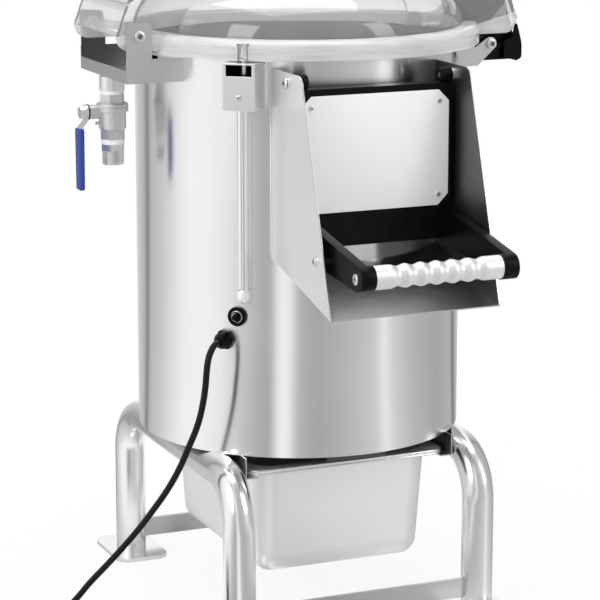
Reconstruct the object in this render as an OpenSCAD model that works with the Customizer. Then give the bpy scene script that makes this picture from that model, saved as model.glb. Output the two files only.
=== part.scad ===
// Electric potato peeler: a stainless drum on a tube frame, with a spinning
// abrasive disc, a discharge door with its chute, a clear hinged lid, a water
// valve and a pan for the peel. Millimetres. The origin is on the floor under
// the drum's axis, +Z is up, -Y is the front and -X is the lid's hinge side.

/* [Drum] */
// Outer radius of the drum
drum_r = 207; // [195:1:220]
// Sheet thickness of the drum
drum_wall = 1.5; // [1:0.1:2.5]
// Height of the drum's lower edge
drum_base_z = 223; // [215:1:235]
// Height of the space for the drive, from the drum's lower edge to the chamber's floor
drive_h = 243; // [235:1:255]
// Height of the chamber, from its floor to the drum's rim
chamber_h = 250; // [245:1:262]
// Radius of the bead rolled into the rim
rim_bead_r = 2.5; // [1.5:0.1:3.5]
// Thickness of the seal on the rim
gasket_t = 2; // [1:0.5:4]
// Thickness of the plate that closes the drum below
base_plate_t = 2; // [1.5:0.5:4]
// Thickness of the chamber's floor
floor_t = 2; // [1.5:0.5:3]

/* [Drive] */
// Gap between the abrasive disc's rim and the drum
disc_rim_gap = 6.5; // [4.5:0.5:12]
// Thickness of the abrasive disc
disc_t = 8; // [5:1:10]
// Running gap between the floor and the disc
disc_gap = 8; // [6:1:10]
// Number of raised waves on the disc
disc_waves = 3; // [2:1:5]
// Radius of a wave's round back
wave_r = 9; // [6:1:12]
// Radius of the drive shaft
shaft_r = 10; // [8:0.5:11]
// Radial running clearance of a shaft in its bearing
run_fit = 0.05; // [0.03:0.01:0.08]
// Outer radius of the bearings
bearing_r = 23.5; // [21:0.5:26]
// Width of a bearing
bearing_w = 14; // [12:1:16]
// Width of the shaft seal
seal_w = 7; // [5:1:9]
// Wall thickness of the bearing housing
housing_wall = 8; // [6:1:10]
// Radius of the housing's flange
housing_flange_r = 46; // [42:1:52]
// Thickness of the housing's flange
housing_flange_t = 8; // [6:1:10]
// Gap between the disc's pulley and the motor's pulley
pulley_gap = 13; // [10:1:18]
// Outer radius of the motor's pulley
motor_pulley_r = 26; // [24:1:29]
// Width of both pulleys
pulley_w = 16; // [14:1:18]
// Height of the pulleys above the base plate
pulley_lift = 16; // [10:1:20]
// Depth of the belt groove
groove_depth = 7; // [6:0.5:8]
// Radius of the motor's body
motor_r = 60; // [54:1:62]
// Gap between the motor's top and the chamber's floor
motor_head_gap = 37; // [25:1:60]
// Gap between the motor's body and the drum
motor_side_gap = 14.5; // [12:0.5:18]
// Direction of the motor from the drum's axis, in degrees from +X
motor_dir = 40; // [30:1:60]
// Radius of the motor's shaft
motor_shaft_r = 7; // [6:0.5:8]
// Number of cooling ribs on the motor
motor_ribs = 18; // [12:1:24]
// Thickness of the motor plate
motor_plate_t = 6; // [5:0.5:8]
// Half width of the motor plate
motor_plate_half = 86; // [82:1:90]

/* [Frame] */
// Radius of the frame tubes
tube_r = 20; // [17:0.5:20]
// Wall thickness of the frame tubes
tube_wall = 2; // [1.5:0.1:3]
// Distance of a side tube's centre inside the drum's outer radius
leg_inset = 44; // [38:1:46]
// Distance of a leg's centre inside the drum's front or back
leg_back = 7; // [0:1:17]
// Radius of the tube's bend, to its centreline
bend_r = 60; // [45:1:80]
// Thickness of the foot plates
foot_t = 5; // [4:0.5:8]
// Width of a foot plate
foot_w = 72; // [66:1:80]
// Length of a foot plate
foot_l = 112; // [106:1:124]
// Radius of a foot plate's corners
foot_corner = 18; // [10:1:26]
// Radius of the anchor holes
anchor_r = 4.25; // [3:0.25:5]
// Distance of an anchor hole from its leg
anchor_off = 34; // [30:1:38]
// Height of the cross bars
bar_h = 25; // [20:1:32]
// Thickness of the cross bars
bar_t = 5; // [4:0.5:8]
// Height of the cross bars' lower edge
bar_z = 17; // [12:1:24]

/* [Peel pan] */
// Gap between the pan's rim and a rail
pan_gap = 6; // [4:0.5:10]
// Length of the pan's rim
pan_l = 325; // [300:1:330]
// Depth of the pan
pan_depth = 145; // [100:5:145]
// Height of the pan's rolled rim
pan_rim_h = 6; // [4:0.5:8]
// Width of the pan's rim
pan_rim_w = 12; // [9:0.5:14]
// Sheet thickness of the pan
pan_wall = 1.2; // [0.8:0.1:2]
// Corner radius of the pan's rim
pan_rim_corner = 16; // [12:1:24]
// Corner radius of the pan's walls
pan_corner = 34; // [24:1:40]
// Radius between the pan's walls and its bottom
pan_foot_r = 24; // [14:1:30]
// How much the pan's walls draw in on each side
pan_draft = 9; // [4:1:14]
// Sheet thickness of the pan rails
rail_t = 1.5; // [1:0.1:2.5]
// Height of the pan rails
rail_h = 26.5; // [22:0.5:29]
// Width of a rail's ledge
rail_ledge = 15; // [12:1:18]

/* [Chute] */
// Gap between the door and the cheeks
cheek_gap = 6; // [4:0.5:8]
// Sheet thickness of the chute
chute_t = 1.5; // [1:0.1:2.5]
// Depth of the cheeks' top edge below the drum's rim
chute_drop = 12; // [10:1:14]
// Reach of the cheeks' top corner from the drum
chute_out = 63; // [51:1:78]
// Reach of the lip from the drum
lip_out = 146; // [133:1:163]
// Depth of the lip below the opening
lip_drop = 72; // [63:1:88]
// Slope of the chute's floor, in degrees
chute_slope = 13.7; // [10:0.1:14]

/* [Door] */
// Height of the opening's lower edge above the chamber's floor
sill_h = 37; // [34:1:42]
// Height of the drum that is left above the opening
lintel_h = 49; // [48:1:58]
// Gap between the door's plug and the opening
door_gap = 2; // [1.6:0.1:3]
// Half width of the door panel
door_half = 102; // [100:0.5:104]
// How far the door's sides lap over the drum beside the opening
door_lap = 16; // [14:0.5:20]
// How far the door laps over the drum below the opening
door_sill = 9.5; // [7:0.5:17]
// How far the door laps over the drum above the opening
door_head = 16.5; // [14:0.5:18]
// Distance of the door's hinge in front of the drum
door_hinge_out = 20.5; // [19:0.5:25]
// Rise of the door's hinge above the panel
door_hinge_rise = 8.5; // [7:0.5:10]
// Radius of the door's hinge bosses, half the panel's thickness
door_boss_r = 9; // [8:0.5:9.5]
// Length of a hinge boss
door_boss_w = 15.5; // [12:0.5:20]
// Radius of the hinge bolts
pivot_r = 4; // [3:0.5:5]
// Radius of the shoulders on the door's hinge bolts
bush_r = 7.6; // [6.5:0.1:9]
// Thickness of the plate on the door
plate_t = 1; // [0.8:0.1:2]
// Distance from the panel's side to the plate
plate_side = 5; // [4:0.5:10]
// Distance from the panel's lower edge to the plate
plate_foot = 41.5; // [40:0.5:52]
// Distance from the panel's top edge to the plate
plate_drop = 8; // [5:0.5:12]
// Size of the plate's cut corners
plate_cut = 13.5; // [8:0.5:18]
// Radius of the plate's screw heads
plate_screw_r = 3; // [2:0.1:4]

/* [Handle] */
// Distance from the panel's side to the outer face of an arm
arm_inset = 2; // [1:0.5:4]
// Thickness of the arms
arm_t = 12; // [9:0.5:14]
// Height of an arm at the door
arm_root_h = 46; // [38:1:48]
// Reach of the handle from the drum
grip_out = 196; // [173:1:213]
// Depth of the handle below the opening's lower edge
grip_drop = 12.7; // [3:0.1:23]
// Radius of the arms' round ends
cap_r = 15; // [13:0.5:16]
// Length of an arm's round end
cap_w = 19; // [16:0.5:24]
// Radius of the grip
grip_r = 14; // [12:0.5:14.5]
// Depth of the valleys between the finger ridges
ridge_h = 2.4; // [0.5:0.1:3]
// Number of finger ridges
ridges = 5; // [3:1:6]
// Distance between finger ridges
ridge_pitch = 20; // [16:0.5:22]

/* [Lid] */
// Wall thickness of the lid
lid_t = 4; // [3:0.5:5]
// Reach of the lid's rolled edge beyond the drum
lid_over = 22.5; // [21:0.5:25]
// Radius that rounds the lid's rolled edge
lid_round = 9; // [5:0.5:10]
// Height of the lid's rolled edge
lid_edge_h = 24; // [22:1:28]
// Height of the dome above the rolled edge
dome_h = 77; // [60:1:100]
// Reach of the hoods beyond the drum
hood_out = 63; // [59:0.5:67]
// Half width of the hoods
hood_half = 80.5; // [78:0.5:82]
// Height of the hoods above the rolled edge
hood_rise = 47; // [42:1:50]
// Rise of the hoods' lower edge above the rim
hood_lift = 4; // [3:0.5:6]
// Radius of the hoods' lower corners
hood_corner = 17; // [10:1:20]
// Distance of the lid's hinge from the drum
lid_hinge_out = 36.5; // [34:0.5:39]
// Height of the lid's hinge above the rim
lid_hinge_rise = 22; // [20:0.5:24]

/* [Hinge bracket] */
// Gap from a hood's side to the outer face of its bracket
bracket_gap = 6.5; // [5.5:0.5:9]
// Sheet thickness of the hinge bracket
bracket_t = 2; // [1.5:0.1:3]
// Reach of the hinge bracket beyond the drum
bracket_out = 53; // [49:0.5:59]
// Depth of the bracket's bottom below the rim
bracket_drop = 35; // [32:1:40]
// Width of the hinge ears
ear_w = 32; // [26:0.5:36]
// Height of the ears above the rim
ear_rise = 38; // [34:1:42]
// Height of the lip on the bracket's outer edge
bracket_lip = 15; // [10:1:18]
// Height of the bracket's sides
bracket_side = 29; // [24:1:31]

/* [Latch] */
// Distance of the latch's pivot from the drum
latch_out = 23; // [21:0.5:26]
// Depth of the latch's pivot below the rim
latch_drop = 8; // [7:0.5:10]
// Radius of the latch arms' round ends
latch_end_r = 8.3; // [7.5:0.1:9]
// Thickness of the latch arms
latch_arm_t = 3; // [2:0.5:4]
// Reach of the latch's lip from its pivot
latch_lip = 46; // [40:1:48]
// Height of the latch above its pivot
latch_up = 57; // [50:1:60]
// Depth of the latch below its pivot
latch_down = 21.4; // [18:0.2:22]
// Gap between the latch and the hood's sides
latch_gap = 3.5; // [2.5:0.5:8]
// Gap between the latch's lower part and its arms
latch_arm_gap = 2; // [1:0.5:4]

/* [Water valve] */
// Distance of the valve from the drum
valve_out = 42; // [39:0.5:45]
// Depth of the valve's stem below the hinge bracket
stem_drop = 43.5; // [41:0.5:46]
// Radius of the water bore
water_r = 9; // [7:0.5:10]
// Radius of the upper nipple
nipple_r = 15.6; // [14:0.1:17]
// Half width across the flats of the hexagons
hex_half = 13.6; // [12.5:0.1:15]
// Radius of the valve's body
valve_r = 19; // [18:0.5:21]
// Radius of the ball
ball_r = 13; // [12.5:0.1:14]
// Radius of the valve's stem
stem_r = 4; // [3:0.5:5]
// Length of the valve's boss
stem_boss = 14; // [10:0.5:18]
// Radius of the hose thread
thread_r = 13.1; // [12.5:0.1:13.3]
// Length of the hose thread
thread_l = 17; // [12:0.5:22]
// Thickness of the valve's lever
lever_t = 3; // [2:0.5:4]
// Width of the valve's lever
lever_w = 13; // [10:0.5:18]
// Length of the lever from its pivot
lever_l = 95; // [80:1:120]
// Outward offset of the lever's handle
lever_offset = 8; // [5:0.5:12]
// Wall thickness of the lever's sleeve
sleeve_t = 1.5; // [1:0.1:2.5]

/* [Interlock] */
// Gap between a cheek's plane and the interlock box
lock_gap = 6.4; // [3:0.1:10]
// Reach of the interlock box from the drum
lock_out = 39; // [35:0.5:43]
// Width of the interlock box
lock_w = 40; // [36:0.5:46]
// Height of the interlock box
lock_h = 56; // [48:1:64]
// Sheet thickness of the interlock box
lock_t = 2; // [1.5:0.1:2.5]
// Width of the box's window
window_w = 32; // [24:0.5:34]
// Height of the box's window
window_h = 14; // [10:0.5:15]
// Radius of the lid's knurled lock pin
knob_r = 10; // [8:0.5:10.5]
// Turn from the interlock box to the conduit, in degrees
conduit_turn = 1.5; // [-2:0.1:3]
// Radius of the conduit
conduit_r = 7; // [6:0.5:8]
// Gap between the reset button's ring and the conduit's foot
conduit_gap = 7.3; // [3:0.1:20]

/* [Reset button and gland] */
// Turn from the interlock box to the reset button, in degrees
reset_turn = 4.2; // [2:0.1:6]
// Depth of the reset button below the chamber's floor
reset_drop = 67; // [60:1:75]
// Radius of the reset button's ring
reset_ring_r = 12; // [10:0.5:14]
// Radius of the reset button
reset_r = 4; // [3:0.5:4.5]
// Travel of the reset button
reset_travel = 2.5; // [1.5:0.5:3]
// Turn from the interlock box to the cable gland, in degrees
gland_turn = 8.7; // [7:0.1:10]
// Depth of the cable gland below the reset button
gland_drop = 30; // [26:1:34]
// Half width across the flats of the gland
gland_half = 11; // [9:0.5:12]
// Length of the gland with its tapered end
gland_l = 21; // [20:1:26]

/* [Control box] */
// Half width of the control box
box_half = 80; // [75:1:90]
// Reach of the box's panel from the drum
box_out = 73; // [65:1:85]
// Depth of the control box's top below the drum's rim
box_drop = 56; // [40:1:70]
// Height of the control box
box_h = 140; // [130:5:160]
// Sheet thickness of the control box
box_t = 1.5; // [1:0.1:2.5]
// Radius of the start and stop buttons
key_r = 10; // [9:0.5:11]
// Travel of the start and stop buttons
key_travel = 3; // [2:0.5:4]
// Radius of the timer's knob
dial_r = 22; // [18:0.5:26]

/* [Mains lead] */
// Radius of the mains lead
cord_r = 4; // [3.5:0.25:4.5]
// Mean radius of the coiled lead
coil_r = 47; // [42:1:50]
// Distance between the coil's turns
coil_pitch = 8.6; // [8:0.1:10]
// Width of the tie round the coil
tie_w = 10; // [8:1:14]
// Thickness of the tie round the coil
tie_t = 1.2; // [1:0.1:2]

/* [Hidden] */
$fn = 48;
fine = 192;
over = tube_wall;
drum_in = drum_r - drum_wall;
floor_z = drum_base_z + drive_h;
drum_top_z = floor_z + chamber_h;
rim_out = drum_r + rim_bead_r;
disc_r = drum_in - disc_rim_gap;
motor_offset = drum_in - motor_r - motor_side_gap;
disc_pulley_r = motor_offset - motor_pulley_r - pulley_gap;
leg_x = drum_r - leg_inset;
leg_y = drum_r - leg_back;
bracket_half = hood_half + bracket_gap;
opening_z = floor_z + sill_h;
opening_h = chamber_h - sill_h - lintel_h;
opening_half = door_half - door_lap;
door_z = opening_z - door_sill;
door_h = opening_h + door_sill + door_head;
door_hinge_y = drum_r + door_hinge_out;
door_hinge_z = door_z + door_h + door_hinge_rise;
plate_half = door_half - plate_side;
arm_half = door_half - arm_inset;
grip_y = drum_r + grip_out;
grip_z = opening_z - grip_drop;
chute_half = door_half + cheek_gap + chute_t;
chute_top_z = drum_top_z - chute_drop;
chute_top_y = drum_r + chute_out;
lip_y = drum_r + lip_out;
lip_z = opening_z - lip_drop;
lid_r = drum_r + lid_over;
hood_x = drum_r + hood_out;
lid_hinge_x = drum_r + lid_hinge_out;
bracket_x = drum_r + bracket_out;
latch_x = drum_r + latch_out;
latch_half = hood_half - lid_t - latch_gap;
latch_low_half = bracket_half - latch_arm_t - latch_arm_gap;
valve_x = drum_r + valve_out;
lock_r = drum_r + lock_out;
lock_dir = asin((chute_half + lock_gap) / drum_r) + asin(lock_w / 2 / drum_r);
conduit_dir = lock_dir + conduit_turn;
reset_dir = lock_dir + reset_turn;
gland_dir = lock_dir + gland_turn;
reset_z = floor_z - reset_drop;
gland_z = reset_z - gland_drop;
box_y = drum_r + box_out;
box_z = drum_top_z - box_drop - box_h;
gasket_out = drum_r + 0.8 * rim_bead_r;
gasket_in = drum_in - drum_wall;
slot_half = bracket_half * 0.46;
slot_z = drum_top_z - 0.74 * bracket_drop;
slot_h = bracket_drop / 2;
disc_z = floor_z + floor_t + disc_gap;
disc_top = disc_z + disc_t;
hub_r = 1.8 * shaft_r;
hub_z = disc_z - 0.75 * disc_gap;
boss_h = 1.4 * shaft_r;
drive_w = 0.8 * shaft_r;
floor_hole_r = 1.5 * shaft_r;
pulley_z = drum_base_z + base_plate_t + pulley_lift;
pulley_tail = pulley_w / 4;
motor_z = pulley_z + pulley_w + pulley_lift;
motor_foot = motor_z + motor_plate_t;
motor_len = floor_z - motor_foot - motor_head_gap;
low_bearing_z = motor_foot;
top_bearing_z = floor_z - seal_w - bearing_w;
groove_top = 0.62 * pulley_w;
groove_low = 0.38 * pulley_w;
belt_h = 0.34 * pulley_w;
belt_gap = groove_depth / 20;
belt_angle = acos((disc_pulley_r - motor_pulley_r) / motor_offset);
plate_near = 0.8 * disc_pulley_r;
post_near = 0.92 * disc_pulley_r;
post_far = 1.3 * motor_offset;
post_y = 0.9 * motor_plate_half;
spout_half = 2 * tube_r;
spout_y = 0.555 * drum_r;
spout_l = 0.34 * drum_r;
spout_z = drum_base_z - 0.45 * rail_h;
spout_wall = drum_wall;
run_z = drum_base_z - tube_r + 0.3 * tube_wall;
rail_in = leg_x - tube_r - 2 * rail_t;
pan_half_w = rail_in - pan_gap;
rail_half = pan_l / 2 + pan_rim_h;
rail_z = drum_base_z - rail_h;
pan_rim_z = rail_z + rail_t;
pan_z = pan_rim_z + pan_rim_h - pan_depth;
pan_foot = min(pan_foot_r, 0.95 * (pan_corner - pan_draft));
pan_core_x = pan_half_w - pan_rim_w - pan_corner;
pan_core_y = pan_l / 2 - pan_rim_w - pan_corner;
chute_in = 0.75 * drum_r;
chute_corner = 9 * chute_t;
catch_y = 0.884 * lip_y;
catch_z = grip_z + 0.25 * cap_r;
catch_r = 0.6 * pivot_r;
head_r = 1.7 * pivot_r;
head_h = 0.75 * pivot_r;
door_y = drum_r + 10 / 9 * door_boss_r;
door_front = door_y + 2 * door_boss_r;
plug_half = opening_half - door_gap;
plate_top = door_z + door_h - plate_drop;
plate_z = door_z + plate_foot;
arm_root_z = plate_z - arm_root_h;
lid_z = drum_top_z - gasket_t;
lid_seat_r = rim_out + 6 * run_fit;
seal_z = drum_top_z + gasket_t;
edge_z = lid_z + lid_edge_h;
dome_r = gasket_out;
dome_shares = [[0, 0], [1, 0], [0.985, 0.16], [0.947, 0.338], [0.89, 0.5], [0.8, 0.64], [0.66, 0.78],
  [0.48, 0.89], [0.26, 0.968], [0, 1]];
hood_z = drum_top_z + hood_lift;
hood_root = 0.45 * hood_x;
hood_shares = [[1, 0], [0.97, 0.52], [0.944, 0.92], [0.925, 1], [0.45, 1.12]];
hinge_z = drum_top_z + lid_hinge_rise;
bracket_z = drum_top_z - bracket_drop;
stem_z = bracket_z - stem_drop;
ear_corner = ear_w / 6;
lock_pin_r = lid_r - 0.75 * knob_r;
lock_top = lid_z - drum_wall;
lock_z = lock_top - lock_h;
lock_pin_z = lock_top - 0.28 * lock_h;
switch_z = lock_z + 0.36 * lock_h;
switch_h = 0.28 * lock_h;
switch_d = lock_w / 4;
plunger_r = lock_w / 16;
plunger_h = lock_w / 5;
plunger_gap = 6 * run_fit;
screw_r = lock_t;
conduit_y = drum_r + conduit_r;
conduit_foot = 2.6 * conduit_r;
conduit_z = reset_z + reset_ring_r + conduit_gap + conduit_foot;
conduit_l = lock_z - conduit_z;
latch_z = drum_top_z - latch_drop;
latch_shares = [[-6.2, -3.3], [-2.2, -3.3], [0.66, -0.75], [-0.6, 0.8], [-2.75, -0.6], [-2.85, 0.45],
  [-6.2, -0.7]];
valve_top = stem_z + 1.13 * valve_r;
hex_top = valve_top - 0.63 * valve_r;
hex_low = stem_z - 1.82 * valve_r;
hex_low_top = stem_z - 1.13 * valve_r;
spigot_r = (water_r + thread_r) / 2 + run_fit;
spigot_h = 0.3 * water_r;
tape_r = 1.11 * thread_r;
tape_h = 0.26 * valve_r;
nipple_z = valve_top + tape_h;
hose_top = hex_low - 0.32 * valve_r;
hose_hex_h = 0.45 * valve_r;
boss_end = valve_x + valve_r + stem_boss;
lever_x = boss_end + 6 * run_fit;
nut_h = 1.6 * stem_r;
nut_half = 1.7 * stem_r;
lever_hub_r = 2.4 * stem_r;
handle_top = stem_z - 2 * lever_hub_r;
handle_low = stem_z - lever_l;
reset_face = drum_r + reset_ring_r / 3;
reset_nose = reset_face + reset_travel * 1.4;
neck_r = 1.5 * reset_r;
neck_in = drum_r - 1.4 * reset_ring_r;
gland_tip = drum_r + gland_l;
key_gap = 6 * run_fit;
key_flange = 1.25 * key_r;
key_z = box_z + 0.32 * box_h;
key_x = 0.55 * box_half;
dial_z = box_z + 0.66 * box_h;
dial_h = 0.75 * dial_r;
stalk_r = dial_r / 5;
cord_low = cord_r + tie_t;
coil_x = -380;
coil_y = -105;
coil_tail = 1.2 * coil_r;
coil_turns = 4.5;
coil_out = coil_r + coil_pitch;
coil_in = coil_r - coil_pitch;
layer_h = 2 * cord_r + cord_r / 8;
// Points along the lead, from the gland to the coil
cord_route = [[-170.2, -151.7, 369], [-176, -156.9, 368], [-181.4, -161.7, 365], [-186, -165.8, 360.2],
  [-189.6, -169, 354], [-191.9, -170.9, 346.3], [-193.2, -171.3, 336], [-194.2, -170.2, 321],
  [-196.2, -168, 302], [-202, -165, 274], [-212, -159, 244], [-222, -150, 214], [-233, -138, 186],
  [-246, -123, 158], [-261, -107, 129], [-277, -91, 102], [-294, -77, 77], [-312, -65, 53],
  [-326, -57, 33], [-340, -52, 18], [-354, -49.5, 8.5], [-364, -49.4, 5.4], [-372, -49.4, 5.2]];
steel = [0.78, 0.79, 0.8];
dark_steel = [0.5, 0.5, 0.52];
black = [0.08, 0.08, 0.09];
clear = [0.75, 0.8, 0.8, 0.4];
white = [0.9, 0.9, 0.88];
brass = [0.75, 0.65, 0.4];
blue = [0.1, 0.3, 0.75];
red = [0.8, 0.1, 0.1];
green = [0.1, 0.6, 0.2];

// Turns a form from the front towards the left
module toward(angle) {
  rotate([0, 0, -angle]) children();
}

// A rod that runs from the origin along +X
module rod_x(r, l) {
  rotate([0, 90, 0]) cylinder(r = r, h = l);
}

// A rod that runs from the origin along +Y
module rod_y(r, l) {
  rotate([-90, 0, 0]) cylinder(r = r, h = l);
}

// A hexagon bar that runs from the origin along +Z
module hex_z(half, l) {
  cylinder(r = half / cos(30), h = l, $fn = 6);
}

// An outline in Y and Z, drawn out to both sides along X
module slab_x(half) {
  rotate([90, 0, 90]) linear_extrude(2 * half, center = true) children();
}

// An outline in X and Z, drawn out to both sides along Y
module slab_y(half) {
  rotate([90, 0, 0]) linear_extrude(2 * half, center = true) children();
}

// A copy on the left and one on the right
module left_and_right() {
  children();
  mirror([1, 0, 0]) children();
}

// A copy in front and one behind
module front_and_back() {
  children();
  mirror([0, 1, 0]) children();
}

// A ring that stands on the origin
module ring(r_out, r_in, h) {
  difference() {
    cylinder(r = r_out, h = h);
    translate([0, 0, -over]) cylinder(r = r_in, h = h + 2 * over);
  }
}

// A rectangle with round corners, centred
module round_rect(half_x, half_y, r) {
  square([2 * (half_x - r), 2 * half_y], center = true);
  square([2 * half_x, 2 * (half_y - r)], center = true);
  for (x = [-1, 1], y = [-1, 1]) translate([x * (half_x - r), y * (half_y - r)]) circle(r = r);
}

// The space that the drum takes up
module drum_space(r = drum_r) {
  translate([0, 0, drum_base_z]) cylinder(r = r, h = drum_top_z - drum_base_z);
}

module drum_shell() {
  color(steel) difference() {
    union() {
      drum_space();
      translate([0, 0, drum_top_z - rim_bead_r]) rotate_extrude() translate([drum_r, 0])
        circle(r = rim_bead_r);
    }
    translate([0, 0, drum_base_z - over]) cylinder(r = drum_in, h = drum_top_z - drum_base_z + 2 * over);
    translate([-opening_half, -drum_r - over, opening_z]) cube([2 * opening_half, drum_r + over, opening_h]);
    translate([-drum_r - over, -slot_half, slot_z]) cube([drum_r + over, 2 * slot_half, slot_h]);
    toward(reset_dir) translate([0, -drum_r - over, reset_z]) rod_y(neck_r, drum_r);
    toward(gland_dir) translate([0, -drum_r - over, gland_z]) rod_y(neck_r, drum_r);
  }
}

module rim_gasket() {
  color(black) translate([0, 0, drum_top_z]) ring(gasket_out, gasket_in, gasket_t);
}

// The drain's outline, drawn in by a wall's thickness when it is the bore
module spout_block(inset, z, h) {
  translate([-spout_half + inset, -spout_y - spout_l + inset, z])
    cube([2 * (spout_half - inset), spout_l - 2 * inset, h]);
}

module base_plate() {
  color(steel) difference() {
    translate([0, 0, drum_base_z]) cylinder(r = drum_in, h = base_plate_t);
    spout_block(0, drum_base_z - over, base_plate_t + 2 * over);
  }
}

// The chamber's floor with the drain that is welded under it
module chamber_floor() {
  color(steel) difference() {
    union() {
      translate([0, 0, floor_z]) cylinder(r = drum_in, h = floor_t);
      spout_block(0, spout_z, floor_z - spout_z);
    }
    translate([0, 0, floor_z - over]) cylinder(r = floor_hole_r, h = floor_t + 2 * over);
    spout_block(spout_wall, spout_z - over, floor_z + floor_t - spout_z + 2 * over);
  }
}

module bearing_housing() {
  color(dark_steel) difference() {
    union() {
      translate([0, 0, low_bearing_z]) cylinder(r = bearing_r + housing_wall, h = floor_z - low_bearing_z);
      translate([0, 0, floor_z - housing_flange_t]) cylinder(r = housing_flange_r, h = housing_flange_t);
    }
    translate([0, 0, low_bearing_z - over]) cylinder(r = bearing_r, h = bearing_w + over);
    translate([0, 0, top_bearing_z]) cylinder(r = bearing_r, h = floor_z);
    translate([0, 0, low_bearing_z]) cylinder(r = bearing_r - housing_wall / 2, h = floor_z);
  }
}

// One sealed bearing with a groove between its rings on both faces
module bearing() {
  race = (bearing_r - shaft_r) / 3;
  dip = bearing_w / 10;
  difference() {
    ring(bearing_r, shaft_r + run_fit, bearing_w);
    for (z = [-over, bearing_w - dip]) translate([0, 0, z])
      ring(bearing_r - race, shaft_r + race, dip + over);
  }
}

module shaft_bearings() {
  color(dark_steel) for (z = [low_bearing_z, top_bearing_z]) translate([0, 0, z]) bearing();
}

module shaft_seal() {
  color(black) translate([0, 0, floor_z - seal_w]) ring(bearing_r, shaft_r + run_fit, seal_w);
}

module motor_plate() {
  color(dark_steel) rotate([0, 0, motor_dir]) difference() {
    union() {
      intersection() {
        translate([plate_near, -motor_plate_half, motor_z])
          cube([drum_r, 2 * motor_plate_half, motor_plate_t]);
        cylinder(r = drum_in - over, h = drum_top_z);
      }
      for (x = [post_near, post_far], y = [-post_y, post_y])
        translate([x, y, drum_base_z + base_plate_t]) cylinder(r = motor_plate_t, h = motor_z - drum_base_z);
    }
    translate([motor_offset, 0, motor_z - over])
      cylinder(r = 1.7 * motor_shaft_r, h = motor_plate_t + 2 * over);
  }
}

module motor_housing() {
  rib = motor_r / 15;
  color(black) rotate([0, 0, motor_dir]) translate([motor_offset, 0, motor_foot]) difference() {
    union() {
      cylinder(r = motor_r, h = motor_len);
      for (i = [1:motor_ribs]) rotate([0, 0, i * 360 / motor_ribs])
        translate([motor_r - rib, -rib / 2, rib]) cube([2 * rib, rib, 0.8 * motor_len]);
    }
    translate([0, 0, -over]) cylinder(r = motor_shaft_r + run_fit, h = 0.8 * motor_len);
  }
}

// The belt's outline, a given distance outside the bottoms of the grooves
module belt_outline(out) {
  big = disc_pulley_r - groove_depth + out;
  small = motor_pulley_r - groove_depth + out;
  steps = 40;
  wrap = 360 - 2 * belt_angle;
  polygon(concat(
    [for (i = [0:steps]) big * [cos(belt_angle + i * wrap / steps), sin(belt_angle + i * wrap / steps)]],
    [for (i = [0:steps]) let (turn = (2 * i / steps - 1) * belt_angle)
      [motor_offset + small * cos(turn), small * sin(turn)]]));
}

module drive_belt() {
  color(black) rotate([0, 0, motor_dir]) translate([0, 0, pulley_z + (pulley_w - belt_h) / 2])
    linear_extrude(belt_h) difference() {
      belt_outline(groove_depth - 2 * belt_gap);
      belt_outline(belt_gap);
    }
}

// A pulley with a groove for the belt, bored for its shaft
module pulley(r, bore) {
  low = (pulley_w - groove_low) / 2;
  wide = (pulley_w - groove_top) / 2;
  rotate_extrude() polygon([[bore, 0], [r, 0], [r, wide], [r - groove_depth, low],
    [r - groove_depth, pulley_w - low], [r, pulley_w - wide], [r, pulley_w], [bore, pulley_w]]);
}

module disc_pulley() {
  dish = pulley_w / 4;
  color(dark_steel) difference() {
    translate([0, 0, pulley_z]) pulley(disc_pulley_r, shaft_r);
    for (z = [pulley_z - over, pulley_z + pulley_w - dish]) translate([0, 0, z])
      ring(disc_pulley_r - 2 * groove_depth, 2.2 * shaft_r, dish + over);
  }
}

module motor_pulley() {
  color(dark_steel) rotate([0, 0, motor_dir]) translate([motor_offset, 0, pulley_z])
    pulley(motor_pulley_r, motor_shaft_r);
}

module motor_shaft() {
  color(steel) rotate([0, 0, motor_dir]) translate([motor_offset, 0, pulley_z - pulley_tail])
    cylinder(r = motor_shaft_r, h = motor_foot - pulley_z + 0.75 * motor_len);
}

// The flatted top of the drive shaft, which turns the disc
module shaft_end() {
  intersection() {
    translate([0, 0, hub_z]) cylinder(r = shaft_r, h = disc_top + boss_h / 2 - hub_z);
    translate([-drive_w, -shaft_r, hub_z]) cube([2 * drive_w, 2 * shaft_r, drum_r]);
  }
}

module drive_shaft() {
  color(steel) union() {
    translate([0, 0, pulley_z - pulley_tail]) cylinder(r = shaft_r, h = hub_z - pulley_z + pulley_tail);
    shaft_end();
  }
}

module abrasive_disc() {
  color(dark_steel) difference() {
    union() {
      translate([0, 0, disc_z]) cylinder(r = disc_r, h = disc_t);
      translate([0, 0, hub_z]) cylinder(r = hub_r, h = disc_z - hub_z + disc_t);
      translate([0, 0, disc_top]) cylinder(r1 = 1.3 * hub_r, r2 = hub_r, h = boss_h);
      intersection() {
        for (i = [1:disc_waves]) rotate([0, 0, i * 360 / disc_waves])
          translate([hub_r, 0, disc_top - wave_r / 3]) rod_x(wave_r, disc_r - hub_r - 2 * disc_t);
        translate([0, 0, disc_top - disc_t / 2]) cylinder(r = disc_r, h = 2 * wave_r);
      }
    }
    shaft_end();
  }
}

// The path of one frame tube, filled out to a radius
module frame_path(r, z) {
  front_and_back() {
    translate([0, leg_y, z]) cylinder(r = r, h = run_z - bend_r - z);
    translate([0, leg_y - bend_r, run_z - bend_r]) rotate([90, 0, 90])
      rotate_extrude(angle = 90) translate([bend_r, 0]) circle(r = r);
  }
  translate([0, bend_r - leg_y, run_z]) rod_y(r, 2 * (leg_y - bend_r));
}

module frame_tube(x) {
  difference() {
    translate([x, 0, 0]) frame_path(tube_r, foot_t);
    translate([x, 0, 0]) frame_path(tube_r - tube_wall, foot_t - over);
    drum_space(drum_r + over);
  }
}

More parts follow.
